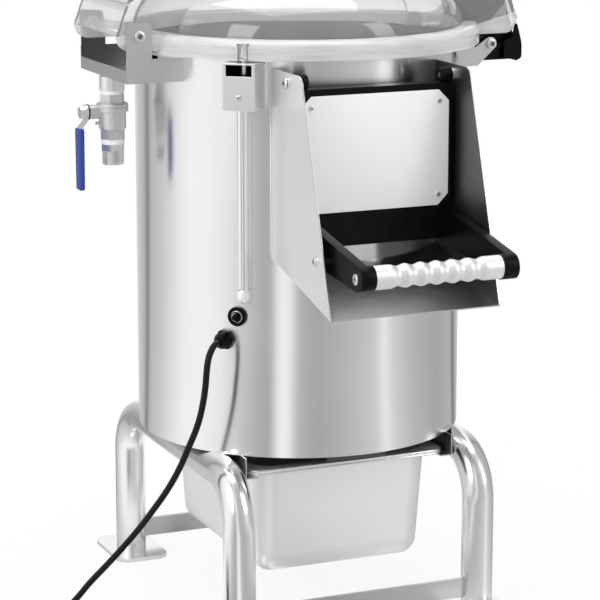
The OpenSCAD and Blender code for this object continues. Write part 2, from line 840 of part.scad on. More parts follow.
module left_frame() {
  color(steel) frame_tube(-leg_x);
}

module right_frame() {
  color(steel) frame_tube(leg_x);
}

module cross_bars() {
  color(steel) difference() {
    front_and_back() translate([-leg_x, leg_y - bar_t / 2, bar_z]) cube([2 * leg_x, bar_t, bar_h]);
    front_and_back() left_and_right() translate([leg_x, leg_y, 0]) cylinder(r = tube_r, h = run_z);
  }
}

module foot_plates() {
  color(steel) front_and_back() left_and_right() translate([leg_x, leg_y, 0]) linear_extrude(foot_t)
    difference() {
      round_rect(foot_w / 2, foot_l / 2, foot_corner);
      translate([0, -anchor_off]) circle(r = anchor_r);
    }
}

module pan_rails() {
  color(steel) left_and_right() translate([rail_in, -rail_half, rail_z]) union() {
    cube([rail_t, 2 * rail_half, rail_h]);
    translate([-rail_ledge, 0, 0]) cube([rail_ledge + rail_t, 2 * rail_half, rail_t]);
  }
}

// The rounded outline of the pan's rim, drawn in by a distance
module pan_outline(inset) {
  round_rect(pan_half_w - inset, pan_l / 2 - inset, pan_rim_corner - inset);
}

// Half of the pan's section, outwards from the axis of its corner, a wall's thickness smaller for its inside
function pan_section(inset, top) = concat([[0, top], [pan_corner - inset, top]],
  [for (turn = [0:15:90]) [pan_corner - pan_draft - pan_foot + (pan_foot - inset) * cos(turn),
    pan_z + pan_foot - (pan_foot - inset) * sin(turn)]],
  [[0, pan_z + inset]]);

// The pan's tapered form, a wall's thickness smaller for its inside
module pan_form(inset, top) {
  section = pan_section(inset, top);
  for (side = [0, 1]) {
    reach = side == 0 ? pan_core_x : pan_core_y;
    width = side == 0 ? pan_core_y : pan_core_x;
    rotate([0, 0, 90 * side]) slab_y(width) {
      translate([reach, 0]) polygon(section);
      mirror([1, 0]) translate([reach, 0]) polygon(section);
      translate([-reach, pan_z + inset]) square([2 * reach, top - pan_z - inset]);
    }
  }
  front_and_back() left_and_right() translate([pan_core_x, pan_core_y, 0]) rotate_extrude() polygon(section);
}

module peel_pan() {
  rim_top = pan_rim_z + pan_rim_h;
  bead = 2 * pan_wall;
  band = 0.44 * pan_rim_h;
  color(steel) difference() {
    union() {
      translate([0, 0, pan_rim_z]) linear_extrude(pan_rim_h) pan_outline(pan_wall / 2);
      for (z = [pan_rim_z, rim_top - band]) translate([0, 0, z]) linear_extrude(band) pan_outline(0);
      pan_form(0, rim_top);
    }
    difference() {
      translate([0, 0, pan_rim_z - over]) linear_extrude(pan_rim_h + over - pan_wall) pan_outline(bead);
      pan_form(0, rim_top);
    }
    pan_form(pan_wall, rim_top + over);
  }
}

// Height of the chute's floor at a distance in front of the axis
function chute_floor(d) = lip_z + (lip_y - d) * tan(chute_slope);

module cheek_outline() {
  polygon([[-chute_in, chute_top_z], [chute_corner - chute_top_y, chute_top_z],
    [-chute_top_y, chute_top_z - chute_corner], [-lip_y, lip_z], [-chute_in, chute_floor(chute_in)]]);
  translate([chute_corner - chute_top_y, chute_top_z - chute_corner]) circle(r = chute_corner);
}

module chute() {
  inner = chute_half - chute_t;
  color(steel) difference() {
    union() {
      left_and_right() translate([inner + chute_t / 2, 0, 0]) slab_x(chute_t / 2) cheek_outline();
      slab_x(chute_half) polygon([[-lip_y, lip_z], [-lip_y, lip_z + chute_t],
        [-chute_in, chute_floor(chute_in) + chute_t], [-chute_in, chute_floor(chute_in)]]);
    }
    drum_space();
    left_and_right() translate([inner - over, 0, 0]) {
      translate([0, -door_hinge_y, door_hinge_z]) rod_x(pivot_r, chute_t + 2 * over);
      translate([0, -catch_y, catch_z]) rod_x(catch_r, chute_t + 2 * over);
    }
  }
}

module door_hinge_bolts() {
  inner = chute_half - chute_t;
  color(steel) left_and_right() translate([0, -door_hinge_y, door_hinge_z]) {
    translate([door_half - door_boss_w + chute_t, 0, 0]) rod_x(pivot_r, chute_half - door_half + door_boss_w);
    translate([door_half + key_gap, 0, 0]) rod_x(bush_r, inner - door_half - key_gap);
    translate([chute_half, 0, 0]) rod_x(head_r, head_h);
  }
}

// A screw that stands out of a face along -Y, its head's underside at the origin
module cover_screw() {
  mirror([0, 1, 0]) rod_y(head_r / 2, head_h / 2);
  rod_y(screw_r, lock_t);
}

module fixing_screws() {
  color(steel) {
    left_and_right() translate([arm_half + key_gap, -catch_y, catch_z]) {
      rod_x(catch_r, chute_half - arm_half);
      translate([chute_half - arm_half - key_gap, 0, 0]) rod_x(0.75 * head_r, head_h);
    }
    toward(lock_dir) translate([0, -lock_r, lock_z + 0.28 * lock_h]) cover_screw();
    left_and_right() for (z = [box_z + head_r, box_z + box_h - head_r])
      translate([box_half - head_r, box_y, z]) rotate([0, 0, 180]) cover_screw();
  }
}

module hinge_bracket() {
  color(steel) difference() {
    union() {
      front_and_back() translate([0, bracket_half - bracket_t / 2, 0]) slab_y(bracket_t / 2) union() {
        translate([-bracket_x, bracket_z]) square([bracket_x - 0.85 * drum_r, bracket_side]);
        translate([-lid_hinge_x, (bracket_z + drum_top_z + ear_rise) / 2])
          round_rect(ear_w / 2, (bracket_drop + ear_rise) / 2, ear_corner);
      }
      translate([-bracket_x, -bracket_half, bracket_z])
        cube([bracket_x - 0.85 * drum_r, 2 * bracket_half, bracket_t]);
      translate([-bracket_x, -bracket_half, bracket_z]) cube([bracket_t, 2 * bracket_half, bracket_lip]);
    }
    drum_space();
    translate([-lid_hinge_x, -drum_r, hinge_z]) rod_y(pivot_r, 2 * drum_r);
    translate([-valve_x, 0, bracket_z - over]) cylinder(r = water_r, h = bracket_t + 2 * over);
  }
}

module lid_hinge_bolts() {
  color(steel) front_and_back() translate([-lid_hinge_x, 0, hinge_z]) {
    translate([0, hood_half - 1.6 * lid_t, 0]) rod_y(pivot_r, bracket_half - hood_half + 1.6 * lid_t);
    translate([0, hood_half + key_gap, 0]) rod_y(2 * pivot_r, bracket_half - bracket_t - hood_half - key_gap);
    translate([0, bracket_half, 0]) rod_y(head_r, head_h);
  }
}

// The outside of the dome, or its inside when it is drawn in by the wall
module dome_form(inset) {
  translate([0, 0, edge_z]) rotate_extrude()
    polygon([for (s = dome_shares) [s[0] * (dome_r - inset), s[1] * (dome_h - inset)]]);
}

// A hood's side outline above the lid's edge, drawn in by the wall
module hood_outline(inset) {
  polygon(concat([[hood_root, edge_z]], [for (s = hood_shares)
    [s[0] * hood_x - (s[0] > 0.5 ? inset : 0), edge_z + s[1] * hood_rise - (s[1] > 0.9 ? inset : 0)]]));
}

// Both hoods' outsides
module hoods() {
  left_and_right() slab_y(hood_half) union() {
    hood_outline(0);
    translate([hood_root, hood_z + hood_corner]) square([hood_x - hood_root, edge_z - hood_z - hood_corner]);
    translate([hood_root, hood_z]) square([hood_x - hood_root - hood_corner, hood_corner + over]);
    translate([hood_x - hood_corner, hood_z + hood_corner]) circle(r = hood_corner);
  }
}

// The lid's rolled edge from a radius outwards, drawn in by the wall
module edge_form(inset, from, low) {
  round_r = lid_round - inset;
  rotate_extrude() {
    translate([from, low]) square([lid_r - lid_round - from, edge_z - inset - low]);
    translate([from, low]) square([lid_r - inset - from, edge_z - lid_round - low]);
    translate([lid_r - lid_round, edge_z - lid_round]) circle(r = round_r);
  }
}

module lid_shell() {
  inside_half = hood_half - lid_t;
  color(clear) difference() {
    union() {
      edge_form(0, 0, lid_z);
      dome_form(0);
      hoods();
    }
    dome_form(lid_t);
    translate([0, 0, lid_z - over]) cylinder(r = dome_r - lid_t, h = lid_edge_h + 2 * over);
    translate([0, 0, lid_z - over]) cylinder(r = lid_seat_r, h = seal_z - lid_z + over);
    difference() {
      edge_form(lid_t, dome_r, lid_z - over);
      translate([-hood_x, -hood_half, 0]) cube([2 * hood_x, 2 * hood_half, edge_z]);
    }
    left_and_right() slab_y(inside_half) hood_outline(lid_t);
    difference() {
      translate([-hood_x - over, -inside_half, lid_z - over])
        cube([2 * (hood_x + over), 2 * inside_half, lid_edge_h + over + lid_t / 100]);
      translate([0, 0, lid_z - 2 * over]) cylinder(r = dome_r, h = lid_edge_h + 2 * over);
    }
    translate([-lid_hinge_x, -drum_r, hinge_z]) rod_y(pivot_r + run_fit, 2 * drum_r);
    toward(lock_dir) translate([0, -lock_pin_r, lid_z - over])
      cylinder(r = knob_r, h = lid_edge_h - lid_t + over);
  }
}

module interlock_pin() {
  flutes = 18;
  flute_r = knob_r / 8;
  color(steel) toward(lock_dir) translate([0, -lock_pin_r, 0]) union() {
    difference() {
      translate([0, 0, seal_z]) cylinder(r = knob_r, h = edge_z - lid_t - seal_z);
      for (i = [1:flutes]) rotate([0, 0, i * 360 / flutes])
        translate([knob_r + flute_r / 3, 0, seal_z - over])
          cylinder(r = flute_r, h = 0.7 * lid_edge_h, $fn = 16);
    }
    translate([0, 0, lock_top + plunger_gap]) cylinder(r = 0.8 * knob_r, h = seal_z - lock_top - plunger_gap);
    translate([0, 0, lock_pin_z]) cylinder(r = 0.4 * knob_r, h = seal_z - lock_pin_z);
  }
}

module interlock_bracket() {
  half = lock_w / 2;
  window_z = lock_top - lock_t / 2 - window_h;
  color(steel) difference() {
    toward(lock_dir) difference() {
      translate([-half, -lock_r, lock_z]) cube([lock_w, lock_r - 0.9 * drum_r, lock_h]);
      translate([lock_t - half, lock_t - lock_r, lock_z + lock_t])
        cube([lock_w - 2 * lock_t, lock_r, lock_h - 2 * lock_t]);
      translate([-window_w / 2, -lock_r - over, window_z]) cube([window_w, 2 * over, window_h]);
      translate([0, -lock_pin_r, lock_top - lock_t - over]) cylinder(r = knob_r, h = 2 * lock_t + over);
      translate([0, -lock_r - over, lock_z + 0.28 * lock_h]) rod_y(screw_r, lock_t + 2 * over);
    }
    drum_space();
    translate([0, 0, drum_top_z - 3 * rim_bead_r]) cylinder(r = rim_out + key_gap, h = 3 * rim_bead_r);
    toward(conduit_dir) translate([0, -conduit_y, lock_z - over])
      cylinder(r = 0.7 * conduit_r, h = lock_t + 2 * over);
  }
}

module interlock_switch() {
  half = lock_w / 2 - lock_t;
  color(black) toward(lock_dir) difference() {
    translate([-half, -lock_pin_r - switch_d / 2, switch_z]) cube([2 * half, switch_d, switch_h]);
    translate([0, -lock_pin_r, switch_z + switch_h - plunger_h])
      cylinder(r = plunger_r + run_fit, h = plunger_h + over);
  }
}

module switch_plunger() {
  color(red) toward(lock_dir) translate([0, -lock_pin_r, lock_pin_z - plunger_gap - plunger_h])
    cylinder(r = plunger_r, h = plunger_h);
}

module conduit_tube() {
  foot_z = conduit_z - conduit_foot;
  outer = drum_r + 2 * conduit_r;
  color(steel) toward(conduit_dir) difference() {
    translate([0, -conduit_y, foot_z]) cylinder(r = conduit_r, h = conduit_l + conduit_foot);
    translate([0, -conduit_y, conduit_z]) cylinder(r = 0.8 * conduit_r, h = conduit_l + over);
    slab_x(2 * conduit_r) polygon([[-outer - over, foot_z - over], [-drum_r, foot_z - over],
      [-outer - over, conduit_z + over]]);
  }
}

module latch_bracket() {
  color(steel) difference() {
    union() {
      front_and_back() translate([0, bracket_half - latch_arm_t / 2, 0]) slab_y(latch_arm_t / 2)
        translate([latch_x, latch_z]) union() {
          polygon(latch_end_r * latch_shares);
          circle(r = latch_end_r);
        }
      translate([0.85 * drum_r, -bracket_half, latch_z - 3.3 * latch_end_r])
        cube([latch_x - 2.4 * latch_end_r - 0.85 * drum_r, 2 * bracket_half, latch_arm_t]);
    }
    drum_space();
    translate([latch_x, -drum_r, latch_z]) rod_y(pivot_r, 2 * drum_r);
  }
}

module latch_bolt() {
  color(steel) translate([latch_x, 0, latch_z]) union() {
    translate([0, -bracket_half, 0]) rod_y(pivot_r, 2 * bracket_half);
    front_and_back() translate([0, bracket_half, 0]) rod_y(head_r, head_h);
  }
}

// The latch's side outline about its pivot
module latch_outline() {
  circle(r = latch_end_r);
  polygon([[-0.19 * latch_lip, -latch_down], [0.7 * latch_lip, -latch_down],
    [0.87 * latch_lip, -1.12 * latch_down],
    [0.96 * latch_lip, -1.02 * latch_down], [latch_lip, -0.8 * latch_down],
      [0.98 * latch_lip, -0.5 * latch_down],
    [0.73 * latch_lip, 0.47 * latch_up], [0.555 * latch_lip, 0.94 * latch_up], [0.48 * latch_lip, latch_up],
    [0.34 * latch_lip, latch_up], [0.26 * latch_lip, 0.86 * latch_up], [0.36 * latch_lip, 0.5 * latch_up],
    [0.3 * latch_lip, 0.14 * latch_up], [-0.19 * latch_lip, 0]]);
}

module lid_latch() {
  dish_r = 0.62 * latch_lip;
  dish_d = latch_half - lid_t;
  color(black) difference() {
    translate([latch_x, 0, latch_z]) union() {
      slab_y(latch_half) latch_outline();
      intersection() {
        slab_y(latch_low_half) latch_outline();
        translate([-latch_lip, -drum_r, -latch_lip])
          cube([3 * latch_lip, 2 * drum_r, latch_lip - pivot_r / 4]);
      }
    }
    translate([latch_x, -drum_r, latch_z]) rod_y(pivot_r + run_fit, 2 * drum_r);
    front_and_back() translate([latch_x + 0.565 * latch_lip, dish_d, latch_z - 0.16 * latch_down])
      rotate([0, -56, 0]) intersection() {
        translate([0, 0, 0.72 * dish_r]) rod_y(dish_r, drum_r);
        translate([0, 0, -0.72 * dish_r]) rod_y(dish_r, drum_r);
      }
  }
}

module inlet_nipple() {
  color(steel) translate([-valve_x, 0, 0]) difference() {
    union() {
      translate([0, 0, nipple_z]) cylinder(r = nipple_r, h = bracket_z - nipple_z);
      translate([0, 0, valve_top - spigot_h]) cylinder(r = spigot_r, h = spigot_h + tape_h);
    }
    translate([0, 0, hex_low]) cylinder(r = water_r, h = drum_top_z - hex_low);
  }
}

module thread_seals() {
  color(white) translate([-valve_x, 0, 0]) {
    translate([0, 0, valve_top]) ring(tape_r, spigot_r, tape_h);
    translate([0, 0, hose_top]) ring(tape_r, spigot_r, hex_low - hose_top);
  }
}

module valve_body() {
  color(brass) translate([-valve_x, 0, 0]) difference() {
    union() {
      translate([0, 0, hex_low]) hex_z(hex_half, hex_low_top - hex_low);
      translate([0, 0, hex_low_top]) cylinder(r = 0.89 * valve_r, h = hex_top - hex_low_top);
      translate([0, 0, hex_top - valve_r / 2]) cylinder(r = valve_r, h = valve_r / 2);
      translate([0, 0, hex_top]) hex_z(hex_half, valve_top - hex_top);
      translate([-valve_r - stem_boss, 0, stem_z]) rod_x(2.2 * stem_r, valve_r + stem_boss);
      translate([-1.15 * valve_r, 0, stem_z - 0.75 * valve_r]) rod_x(stem_r / 2, valve_r / 2);
    }
    translate([0, 0, hex_low - over]) cylinder(r = water_r, h = valve_top - hex_low + 2 * over);
    translate([0, 0, stem_z]) sphere(r = ball_r + run_fit);
    translate([-valve_r - stem_boss - over, 0, stem_z]) rod_x(stem_r + run_fit, valve_r + stem_boss);
    translate([0, 0, valve_top - spigot_h]) cylinder(r = spigot_r, h = spigot_h + over);
    translate([0, 0, hex_low - over]) cylinder(r = spigot_r, h = spigot_h + over);
  }
}

module valve_ball() {
  color(steel) translate([-valve_x, 0, stem_z]) difference() {
    union() {
      sphere(r = ball_r);
      translate([valve_x - lever_x - lever_t - nut_h, 0, 0])
        rod_x(stem_r, lever_x + lever_t + nut_h - valve_x);
    }
    translate([0, 0, -2 * ball_r]) cylinder(r = water_r, h = 4 * ball_r);
  }
}

// The lever's strap up to a height, drawn out by a wall's thickness for its sleeve
module strap_outline(out, top) {
  end_z = handle_low + lever_w / 2;
  translate([0, end_z]) circle(r = lever_w / 2 + out);
  translate([-lever_w / 2 - out, end_z]) square([lever_w + 2 * out, top - end_z]);
}

module valve_lever() {
  step = lever_x + lever_offset;
  neck_z = stem_z - lever_hub_r;
  color(steel) difference() {
    intersection() {
      slab_y(lever_hub_r)
        polygon([[-lever_x, stem_z + lever_hub_r], [-lever_x - lever_t, stem_z + lever_hub_r],
        [-lever_x - lever_t, neck_z], [-step - lever_t, handle_top], [-step - lever_t, handle_low],
        [-step, handle_low], [-step, handle_top], [-lever_x, neck_z]]);
      translate([-lever_x, 0, 0]) slab_x(lever_offset + 2 * lever_t) {
        translate([0, stem_z]) circle(r = lever_hub_r);
        strap_outline(0, stem_z);
      }
    }
    translate([-lever_x - lever_t - over, 0, stem_z]) rod_x(stem_r, lever_t + 2 * over);
  }
}

module lever_nut() {
  color(steel) translate([-lever_x - lever_t, 0, stem_z]) difference() {
    rotate([0, -90, 0]) hex_z(nut_half, nut_h);
    translate([-nut_h - over, 0, 0]) rod_x(stem_r, nut_h + 2 * over);
  }
}

module lever_sleeve() {
  half_t = lever_t / 2;
  outer_t = half_t + sleeve_t;
  color(blue) translate([-lever_x - lever_offset - half_t, 0, 0]) difference() {
    intersection() {
      slab_x(outer_t) strap_outline(sleeve_t, handle_top);
      translate([0, 0, handle_low - sleeve_t]) linear_extrude(handle_top - handle_low + sleeve_t)
        round_rect(outer_t, lever_w / 2 + sleeve_t, 0.95 * outer_t);
    }
    slab_x(half_t) strap_outline(0, stem_z);
  }
}

module hose_nipple() {
  color(steel) translate([-valve_x, 0, 0]) difference() {
    union() {
      translate([0, 0, hose_top]) cylinder(r = spigot_r, h = hex_low + spigot_h - hose_top);
      translate([0, 0, hose_top - hose_hex_h]) hex_z(0.94 * hex_half, hose_hex_h);
      translate([0, 0, hose_top - hose_hex_h - thread_l]) cylinder(r = thread_r, h = thread_l);
    }
    translate([0, 0, hose_top - hose_hex_h - thread_l - over]) cylinder(r = water_r, h = 4 * thread_l);
  }
}

module reset_bezel() {
  neck_l = drum_r - neck_in;
  color(black) toward(reset_dir) translate([0, 0, reset_z]) difference() {
    union() {
      translate([0, -reset_face, 0]) rod_y(reset_ring_r, reset_ring_r);
      translate([0, -reset_nose, 0]) rod_y(0.56 * reset_ring_r, reset_ring_r);
      translate([0, -drum_r - over, 0]) rod_y(neck_r, neck_l + over);
    }
    difference() {
      translate([0, 0, -drum_r / 2]) cylinder(r = drum_r, h = drum_r, $fn = fine);
      translate([0, -drum_r - over, 0]) rod_y(neck_r, neck_l + over);
    }
    translate([0, -reset_nose - over, 0]) rod_y(reset_r + run_fit, neck_l + reset_ring_r);
  }
}

module reset_button() {
  color(black) toward(reset_dir) translate([0, 0, reset_z]) union() {
    translate([0, -reset_nose - reset_travel, 0])
      rod_y(reset_r, reset_nose + reset_travel - neck_in + reset_travel);
    translate([0, key_gap - neck_in, 0]) rod_y(1.3 * reset_r, reset_travel);
  }
}

module cable_gland() {
  color(black) toward(gland_dir) translate([0, 0, gland_z]) difference() {
    union() {
      translate([0, -drum_r - gland_l / 3, 0]) rotate([-90, 0, 0]) hex_z(gland_half, gland_l / 3 + cord_r);
      translate([0, -drum_r - 0.6 * gland_l, 0]) rod_y(0.92 * gland_half, gland_l / 2);
      translate([0, -gland_tip, 0]) rotate([-90, 0, 0])
        cylinder(r1 = 1.4 * cord_r, r2 = 0.92 * gland_half, h = 0.4 * gland_l);
      translate([0, -drum_r, 0]) rod_y(neck_r, gland_l);
      translate([0, -drum_in + drum_wall, 0]) rotate([-90, 0, 0]) hex_z(0.8 * gland_half, cord_r);
    }
    difference() {
      translate([0, 0, -drum_r / 2]) cylinder(r = drum_r, h = drum_r, $fn = fine);
      translate([0, -drum_r, 0]) rod_y(neck_r, gland_l);
      translate([0, -drum_in + drum_wall, 0]) rotate([-90, 0, 0]) hex_z(0.8 * gland_half, cord_r);
    }
  }
}

module control_box() {
  inner = box_half - box_t;
  color(steel) difference() {
    translate([-box_half, 0, box_z]) cube([2 * box_half, box_y, box_h]);
    translate([-inner, -over, box_z + box_t]) cube([2 * inner, box_y + over - box_t, box_h - 2 * box_t]);
    drum_space();
    translate([-drum_r, -drum_r, 0]) cube([2 * drum_r, drum_r + bracket_half, drum_top_z]);
    left_and_right() translate([key_x, box_y - 2 * box_t, key_z]) rod_y(key_r + run_fit, 4 * box_t);
    translate([0, box_y - 2 * box_t, dial_z]) rod_y(stalk_r + run_fit, 4 * box_t);
    left_and_right() for (z = [box_z + head_r, box_z + box_h - head_r])
      translate([box_half - head_r, box_y - 2 * lock_t, z]) rod_y(screw_r, 4 * lock_t);
  }
}

// A sprung key in the control box, with a flange behind the panel
module key(x) {
  translate([x, box_y - box_t, key_z]) union() {
    translate([0, -key_travel, 0]) rod_y(key_r, 2 * key_travel + box_t + key_gap);
    translate([0, -key_travel - key_gap, 0]) rod_y(key_flange, key_travel);
  }
}

module start_button() {
  color(green) key(key_x);
}

module stop_button() {
  color(red) key(-key_x);
}

module timer_knob() {
  color(black) translate([0, box_y, dial_z]) union() {
    translate([0, -2 * box_t - key_gap, 0]) rod_y(stalk_r, 2 * box_t + 2 * key_gap);
    translate([0, -3 * box_t - key_gap, 0]) rod_y(1.5 * stalk_r, 2 * box_t);
    translate([0, key_gap, 0]) rod_y(dial_r, dial_h / 2);
    translate([-dial_r / 6, key_gap, -dial_r]) cube([dial_r / 3, dial_h, 2 * dial_r]);
  }
}

module door_panel() {
  boss_in = door_half - door_boss_w;
  color(black) difference() {
    union() {
      translate([-door_half, -door_front, door_z]) cube([2 * door_half, 2 * door_boss_r, door_h]);
      left_and_right() translate([boss_in, 0, 0]) union() {
        translate([0, -door_hinge_y, door_hinge_z]) rod_x(door_boss_r, door_boss_w);
        translate([0, -door_hinge_y - door_boss_r / 2, door_z])
          cube([door_boss_w, door_boss_r, door_h + door_boss_r / 2]);
      }
      difference() {
        translate([-plug_half, -door_y - door_boss_r, opening_z + door_gap])
          cube([2 * plug_half, door_y, opening_h - 2 * door_gap]);
        translate([0, 0, door_z]) cylinder(r = drum_in, h = drum_r);
        translate([-drum_r, -drum_r / 2, door_z]) cube([2 * drum_r, drum_r, drum_r]);
      }
    }
    left_and_right() translate([boss_in - over, -door_hinge_y, door_hinge_z])
      rod_x(pivot_r + run_fit, door_boss_w + 2 * over);
  }
}

module door_plate() {
  color(steel) translate([0, -door_front - plate_t / 2, 0]) slab_y(plate_t / 2) polygon([
    [-plate_half, plate_z + plate_cut], [plate_cut - plate_half, plate_z], [plate_half - plate_cut, plate_z],
    [plate_half, plate_z + plate_cut], [plate_half, plate_top - plate_cut],
      [plate_half - plate_cut, plate_top],
    [plate_cut - plate_half, plate_top], [-plate_half, plate_top - plate_cut]]);
}

module door_plate_screws() {
  color(steel) left_and_right() for (z = [plate_z + plate_cut, plate_top - plate_cut])
    translate([plate_half - plate_cut, -door_front - plate_t, z]) mirror([0, 1, 0])
      rod_y(plate_screw_r, plate_t);
}

module door_arms() {
  color(black) difference() {
    left_and_right() union() {
      translate([arm_half - arm_t / 2, 0, 0]) slab_x(arm_t / 2) union() {
        polygon([[-door_front, arm_root_z], [-door_front, plate_z],
          [-grip_y - cap_r * sin(10), grip_z + cap_r * cos(10)],
            [-grip_y + cap_r * sin(5), grip_z - cap_r * cos(5)]]);
        translate([-grip_y, grip_z]) circle(r = cap_r);
      }
      translate([arm_half - cap_w, -grip_y, grip_z]) rod_x(cap_r, cap_w);
    }
    translate([-drum_r, -grip_y, grip_z]) rod_x(pivot_r, 2 * drum_r);
  }
}

module handle_grip() {
  half = arm_half - cap_w;
  steps = 10;
  waves = ridges + 1;
  start = half - waves * ridge_pitch / 2;
  color(steel) translate([-half, -grip_y, grip_z]) rotate([0, 90, 0]) rotate_extrude() polygon(concat(
    [[pivot_r, 0], [grip_r, 0]],
    [for (i = [0:steps * waves]) [grip_r - ridge_h / 2 * (1 - cos(360 * i / steps)),
      start + i * ridge_pitch / steps]],
    [[grip_r, 2 * half], [pivot_r, 2 * half]]));
}

module handle_rod() {
  color(steel) translate([0, -grip_y, grip_z]) union() {
    translate([-arm_half, 0, 0]) rod_x(pivot_r, 2 * arm_half);
    left_and_right() translate([arm_half, 0, 0]) rod_x(head_r, head_h / 2);
  }
}

function unit(v) = v / norm(v);

// One ring of a tube about a point, across a direction
function tube_ring(p, t, side, r, sides) = let (b = unit(cross(t, side)), n = cross(b, t))
  [for (k = [0:sides - 1]) p + r * (cos(360 * k / sides) * b + sin(360 * k / sides) * n)];

// The faces of a tube of so many rings, closed at both ends, as triangles
function tube_faces(rings, sides) = concat(
  [for (i = [0:rings - 2], k = [0:sides - 1]) [i * sides + k, i * sides + (k + 1) % sides,
    (i + 1) * sides + k]],
  [for (i = [0:rings - 2], k = [0:sides - 1])
    [i * sides + (k + 1) % sides, (i + 1) * sides + (k + 1) % sides, (i + 1) * sides + k]],
  [for (k = [1:sides - 2]) [0, k + 1, k]],
  [for (k = [1:sides - 2]) [(rings - 1) * sides, (rings - 1) * sides + k, (rings - 1) * sides + k + 1]]);

module cord_lead() {
  sides = 8;
  last = len(cord_route) - 1;
  gland_out = [-sin(gland_dir), -cos(gland_dir), 0];
  heads = [for (i = [0:last]) i == 0 ? gland_out : i == last ? [-1, 0, 0]
    : unit(cord_route[i + 1] - cord_route[i - 1])];
  rings = [for (i = [0:last]) tube_ring(cord_route[i], heads[i], [0, 1, 0], cord_r, sides)];
  color(black) polyhedron(points = [for (one = rings) each one], faces = tube_faces(last + 1, sides));
}

// Radius and height of the coil after so many turns
function coil_radius(u) = u < 2 ? coil_out - coil_pitch * u
  : u < 2.5 ? coil_in - coil_pitch / 4 * sin(360 * (u - 2)) : coil_in + coil_pitch * (u - 2.5);
function coil_height(u) = cord_low + layer_h * (u < 2 ? 0 : u < 2.5 ? (1 - cos(360 * (u - 2))) / 2 : 1);
function coil_point(u) = [coil_x - coil_radius(u) * sin(360 * u), coil_y + coil_radius(u) * cos(360 * u),
  coil_height(u)];

coil_end = coil_point(coil_turns);
coil_path = concat([[coil_x + 2 * cord_r, coil_y + coil_out, cord_low]],
  [for (i = [0:24 * coil_turns]) coil_point(i / 24)],
  [coil_end + [coil_tail, 0, 0]]);
plug_x = coil_end[0] + coil_tail;
coil_gap = min([for (i = [0:len(coil_path) - 14], j = [i + 13:len(coil_path) - 1])
  norm(coil_path[i] - coil_path[j])]) - 2 * cord_r;
echo(coil_gap = coil_gap);

module cord_coil() {
  sides = 6;
  last = len(coil_path) - 1;
  heads = [for (i = [0:last]) i == 0 ? [-1, 0, 0] : i == last ? [1, 0, 0]
    : unit(coil_path[i + 1] - coil_path[i - 1])];
  rings = [for (i = [0:last]) tube_ring(coil_path[i], heads[i], unit(cross([0, 0, 1], heads[i])), cord_r,
    sides)];
  color(black) polyhedron(points = [for (one = rings) each one], faces = tube_faces(last + 1, sides));
}

module cord_tie() {
  gap = cord_r / 8;
  inner = coil_in - coil_pitch / 4 - cord_r - gap;
  outer = coil_out + cord_r + gap;
  height = layer_h + 2 * cord_r + gap;
  color(black) translate([coil_x, coil_y, 0]) difference() {
    translate([-outer - tie_t, -tie_w / 2, 0]) cube([outer - inner + 2 * tie_t, tie_w, height + 2 * tie_t]);
    translate([-outer, -tie_w, tie_t]) cube([outer - inner, 2 * tie_w, height]);
  }
}

module mains_plug() {
  z = coil_end[2];
  half_w = 1.4 * z;
  body_l = 3 * z;
  pin_r = 0.6 * cord_r;
  color(black) translate([plug_x, coil_end[1], z]) union() {
    rotate([0, 90, 0]) cylinder(r1 = cord_r, r2 = 2 * cord_r, h = z);
    translate([z, 0, -z]) linear_extrude(2 * z) translate([body_l / 2, 0])
      round_rect(body_l / 2, half_w, z / 2);
    for (y = [-1, 1]) translate([z + body_l, y * 0.75 * z, 0]) rod_x(pin_r, 1.5 * z);
  }
}

drum_shell();
rim_gasket();
base_plate();
chamber_floor();
bearing_housing();
shaft_bearings();
shaft_seal();
motor_plate();
motor_housing();
drive_belt();
left_frame();
right_frame();
cross_bars();
foot_plates();
pan_rails();
chute();
fixing_screws();
door_hinge_bolts();
hinge_bracket();
lid_hinge_bolts();
inlet_nipple();
thread_seals();
valve_body();
hose_nipple();
interlock_bracket();
interlock_switch();
conduit_tube();
latch_bracket();
latch_bolt();
reset_bezel();
cable_gland();
control_box();
cord_lead();
cord_coil();
cord_tie();
mains_plug();
abrasive_disc();
drive_shaft();
disc_pulley();
motor_pulley();
motor_shaft();
door_panel();
door_plate();
door_plate_screws();
door_arms();
handle_grip();
handle_rod();
lid_shell();
interlock_pin();
peel_pan();
valve_ball();
valve_lever();
lever_nut();
lever_sleeve();
lid_latch();
reset_button();
switch_plunger();
start_button();
stop_button();
timer_knob();
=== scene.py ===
"""Dresses the electric potato peeler, in metres: finishes for its CAD pieces, mains lead and fittings."""
import math

import bmesh
import bpy
from mathutils import Matrix, Vector


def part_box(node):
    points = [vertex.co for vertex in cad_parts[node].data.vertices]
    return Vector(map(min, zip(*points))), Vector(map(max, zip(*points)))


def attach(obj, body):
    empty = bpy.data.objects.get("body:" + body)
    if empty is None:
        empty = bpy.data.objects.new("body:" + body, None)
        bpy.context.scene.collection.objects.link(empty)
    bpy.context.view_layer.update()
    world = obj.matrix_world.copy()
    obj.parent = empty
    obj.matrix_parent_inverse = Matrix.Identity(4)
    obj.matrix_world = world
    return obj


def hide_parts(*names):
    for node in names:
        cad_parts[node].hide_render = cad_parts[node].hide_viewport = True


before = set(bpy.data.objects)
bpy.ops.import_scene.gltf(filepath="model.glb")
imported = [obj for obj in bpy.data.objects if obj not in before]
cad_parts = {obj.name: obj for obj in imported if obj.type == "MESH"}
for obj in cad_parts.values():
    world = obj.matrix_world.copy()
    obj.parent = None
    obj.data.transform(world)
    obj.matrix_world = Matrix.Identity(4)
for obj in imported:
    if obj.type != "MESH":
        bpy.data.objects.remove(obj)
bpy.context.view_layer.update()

# Camera at the photograph's viewing angle
CAMERA_AT = (-1.25155, -2.9276, 1.07769)
CAMERA_TURN = math.radians(-23.2)
CAMERA_DIP = math.radians(12.42)
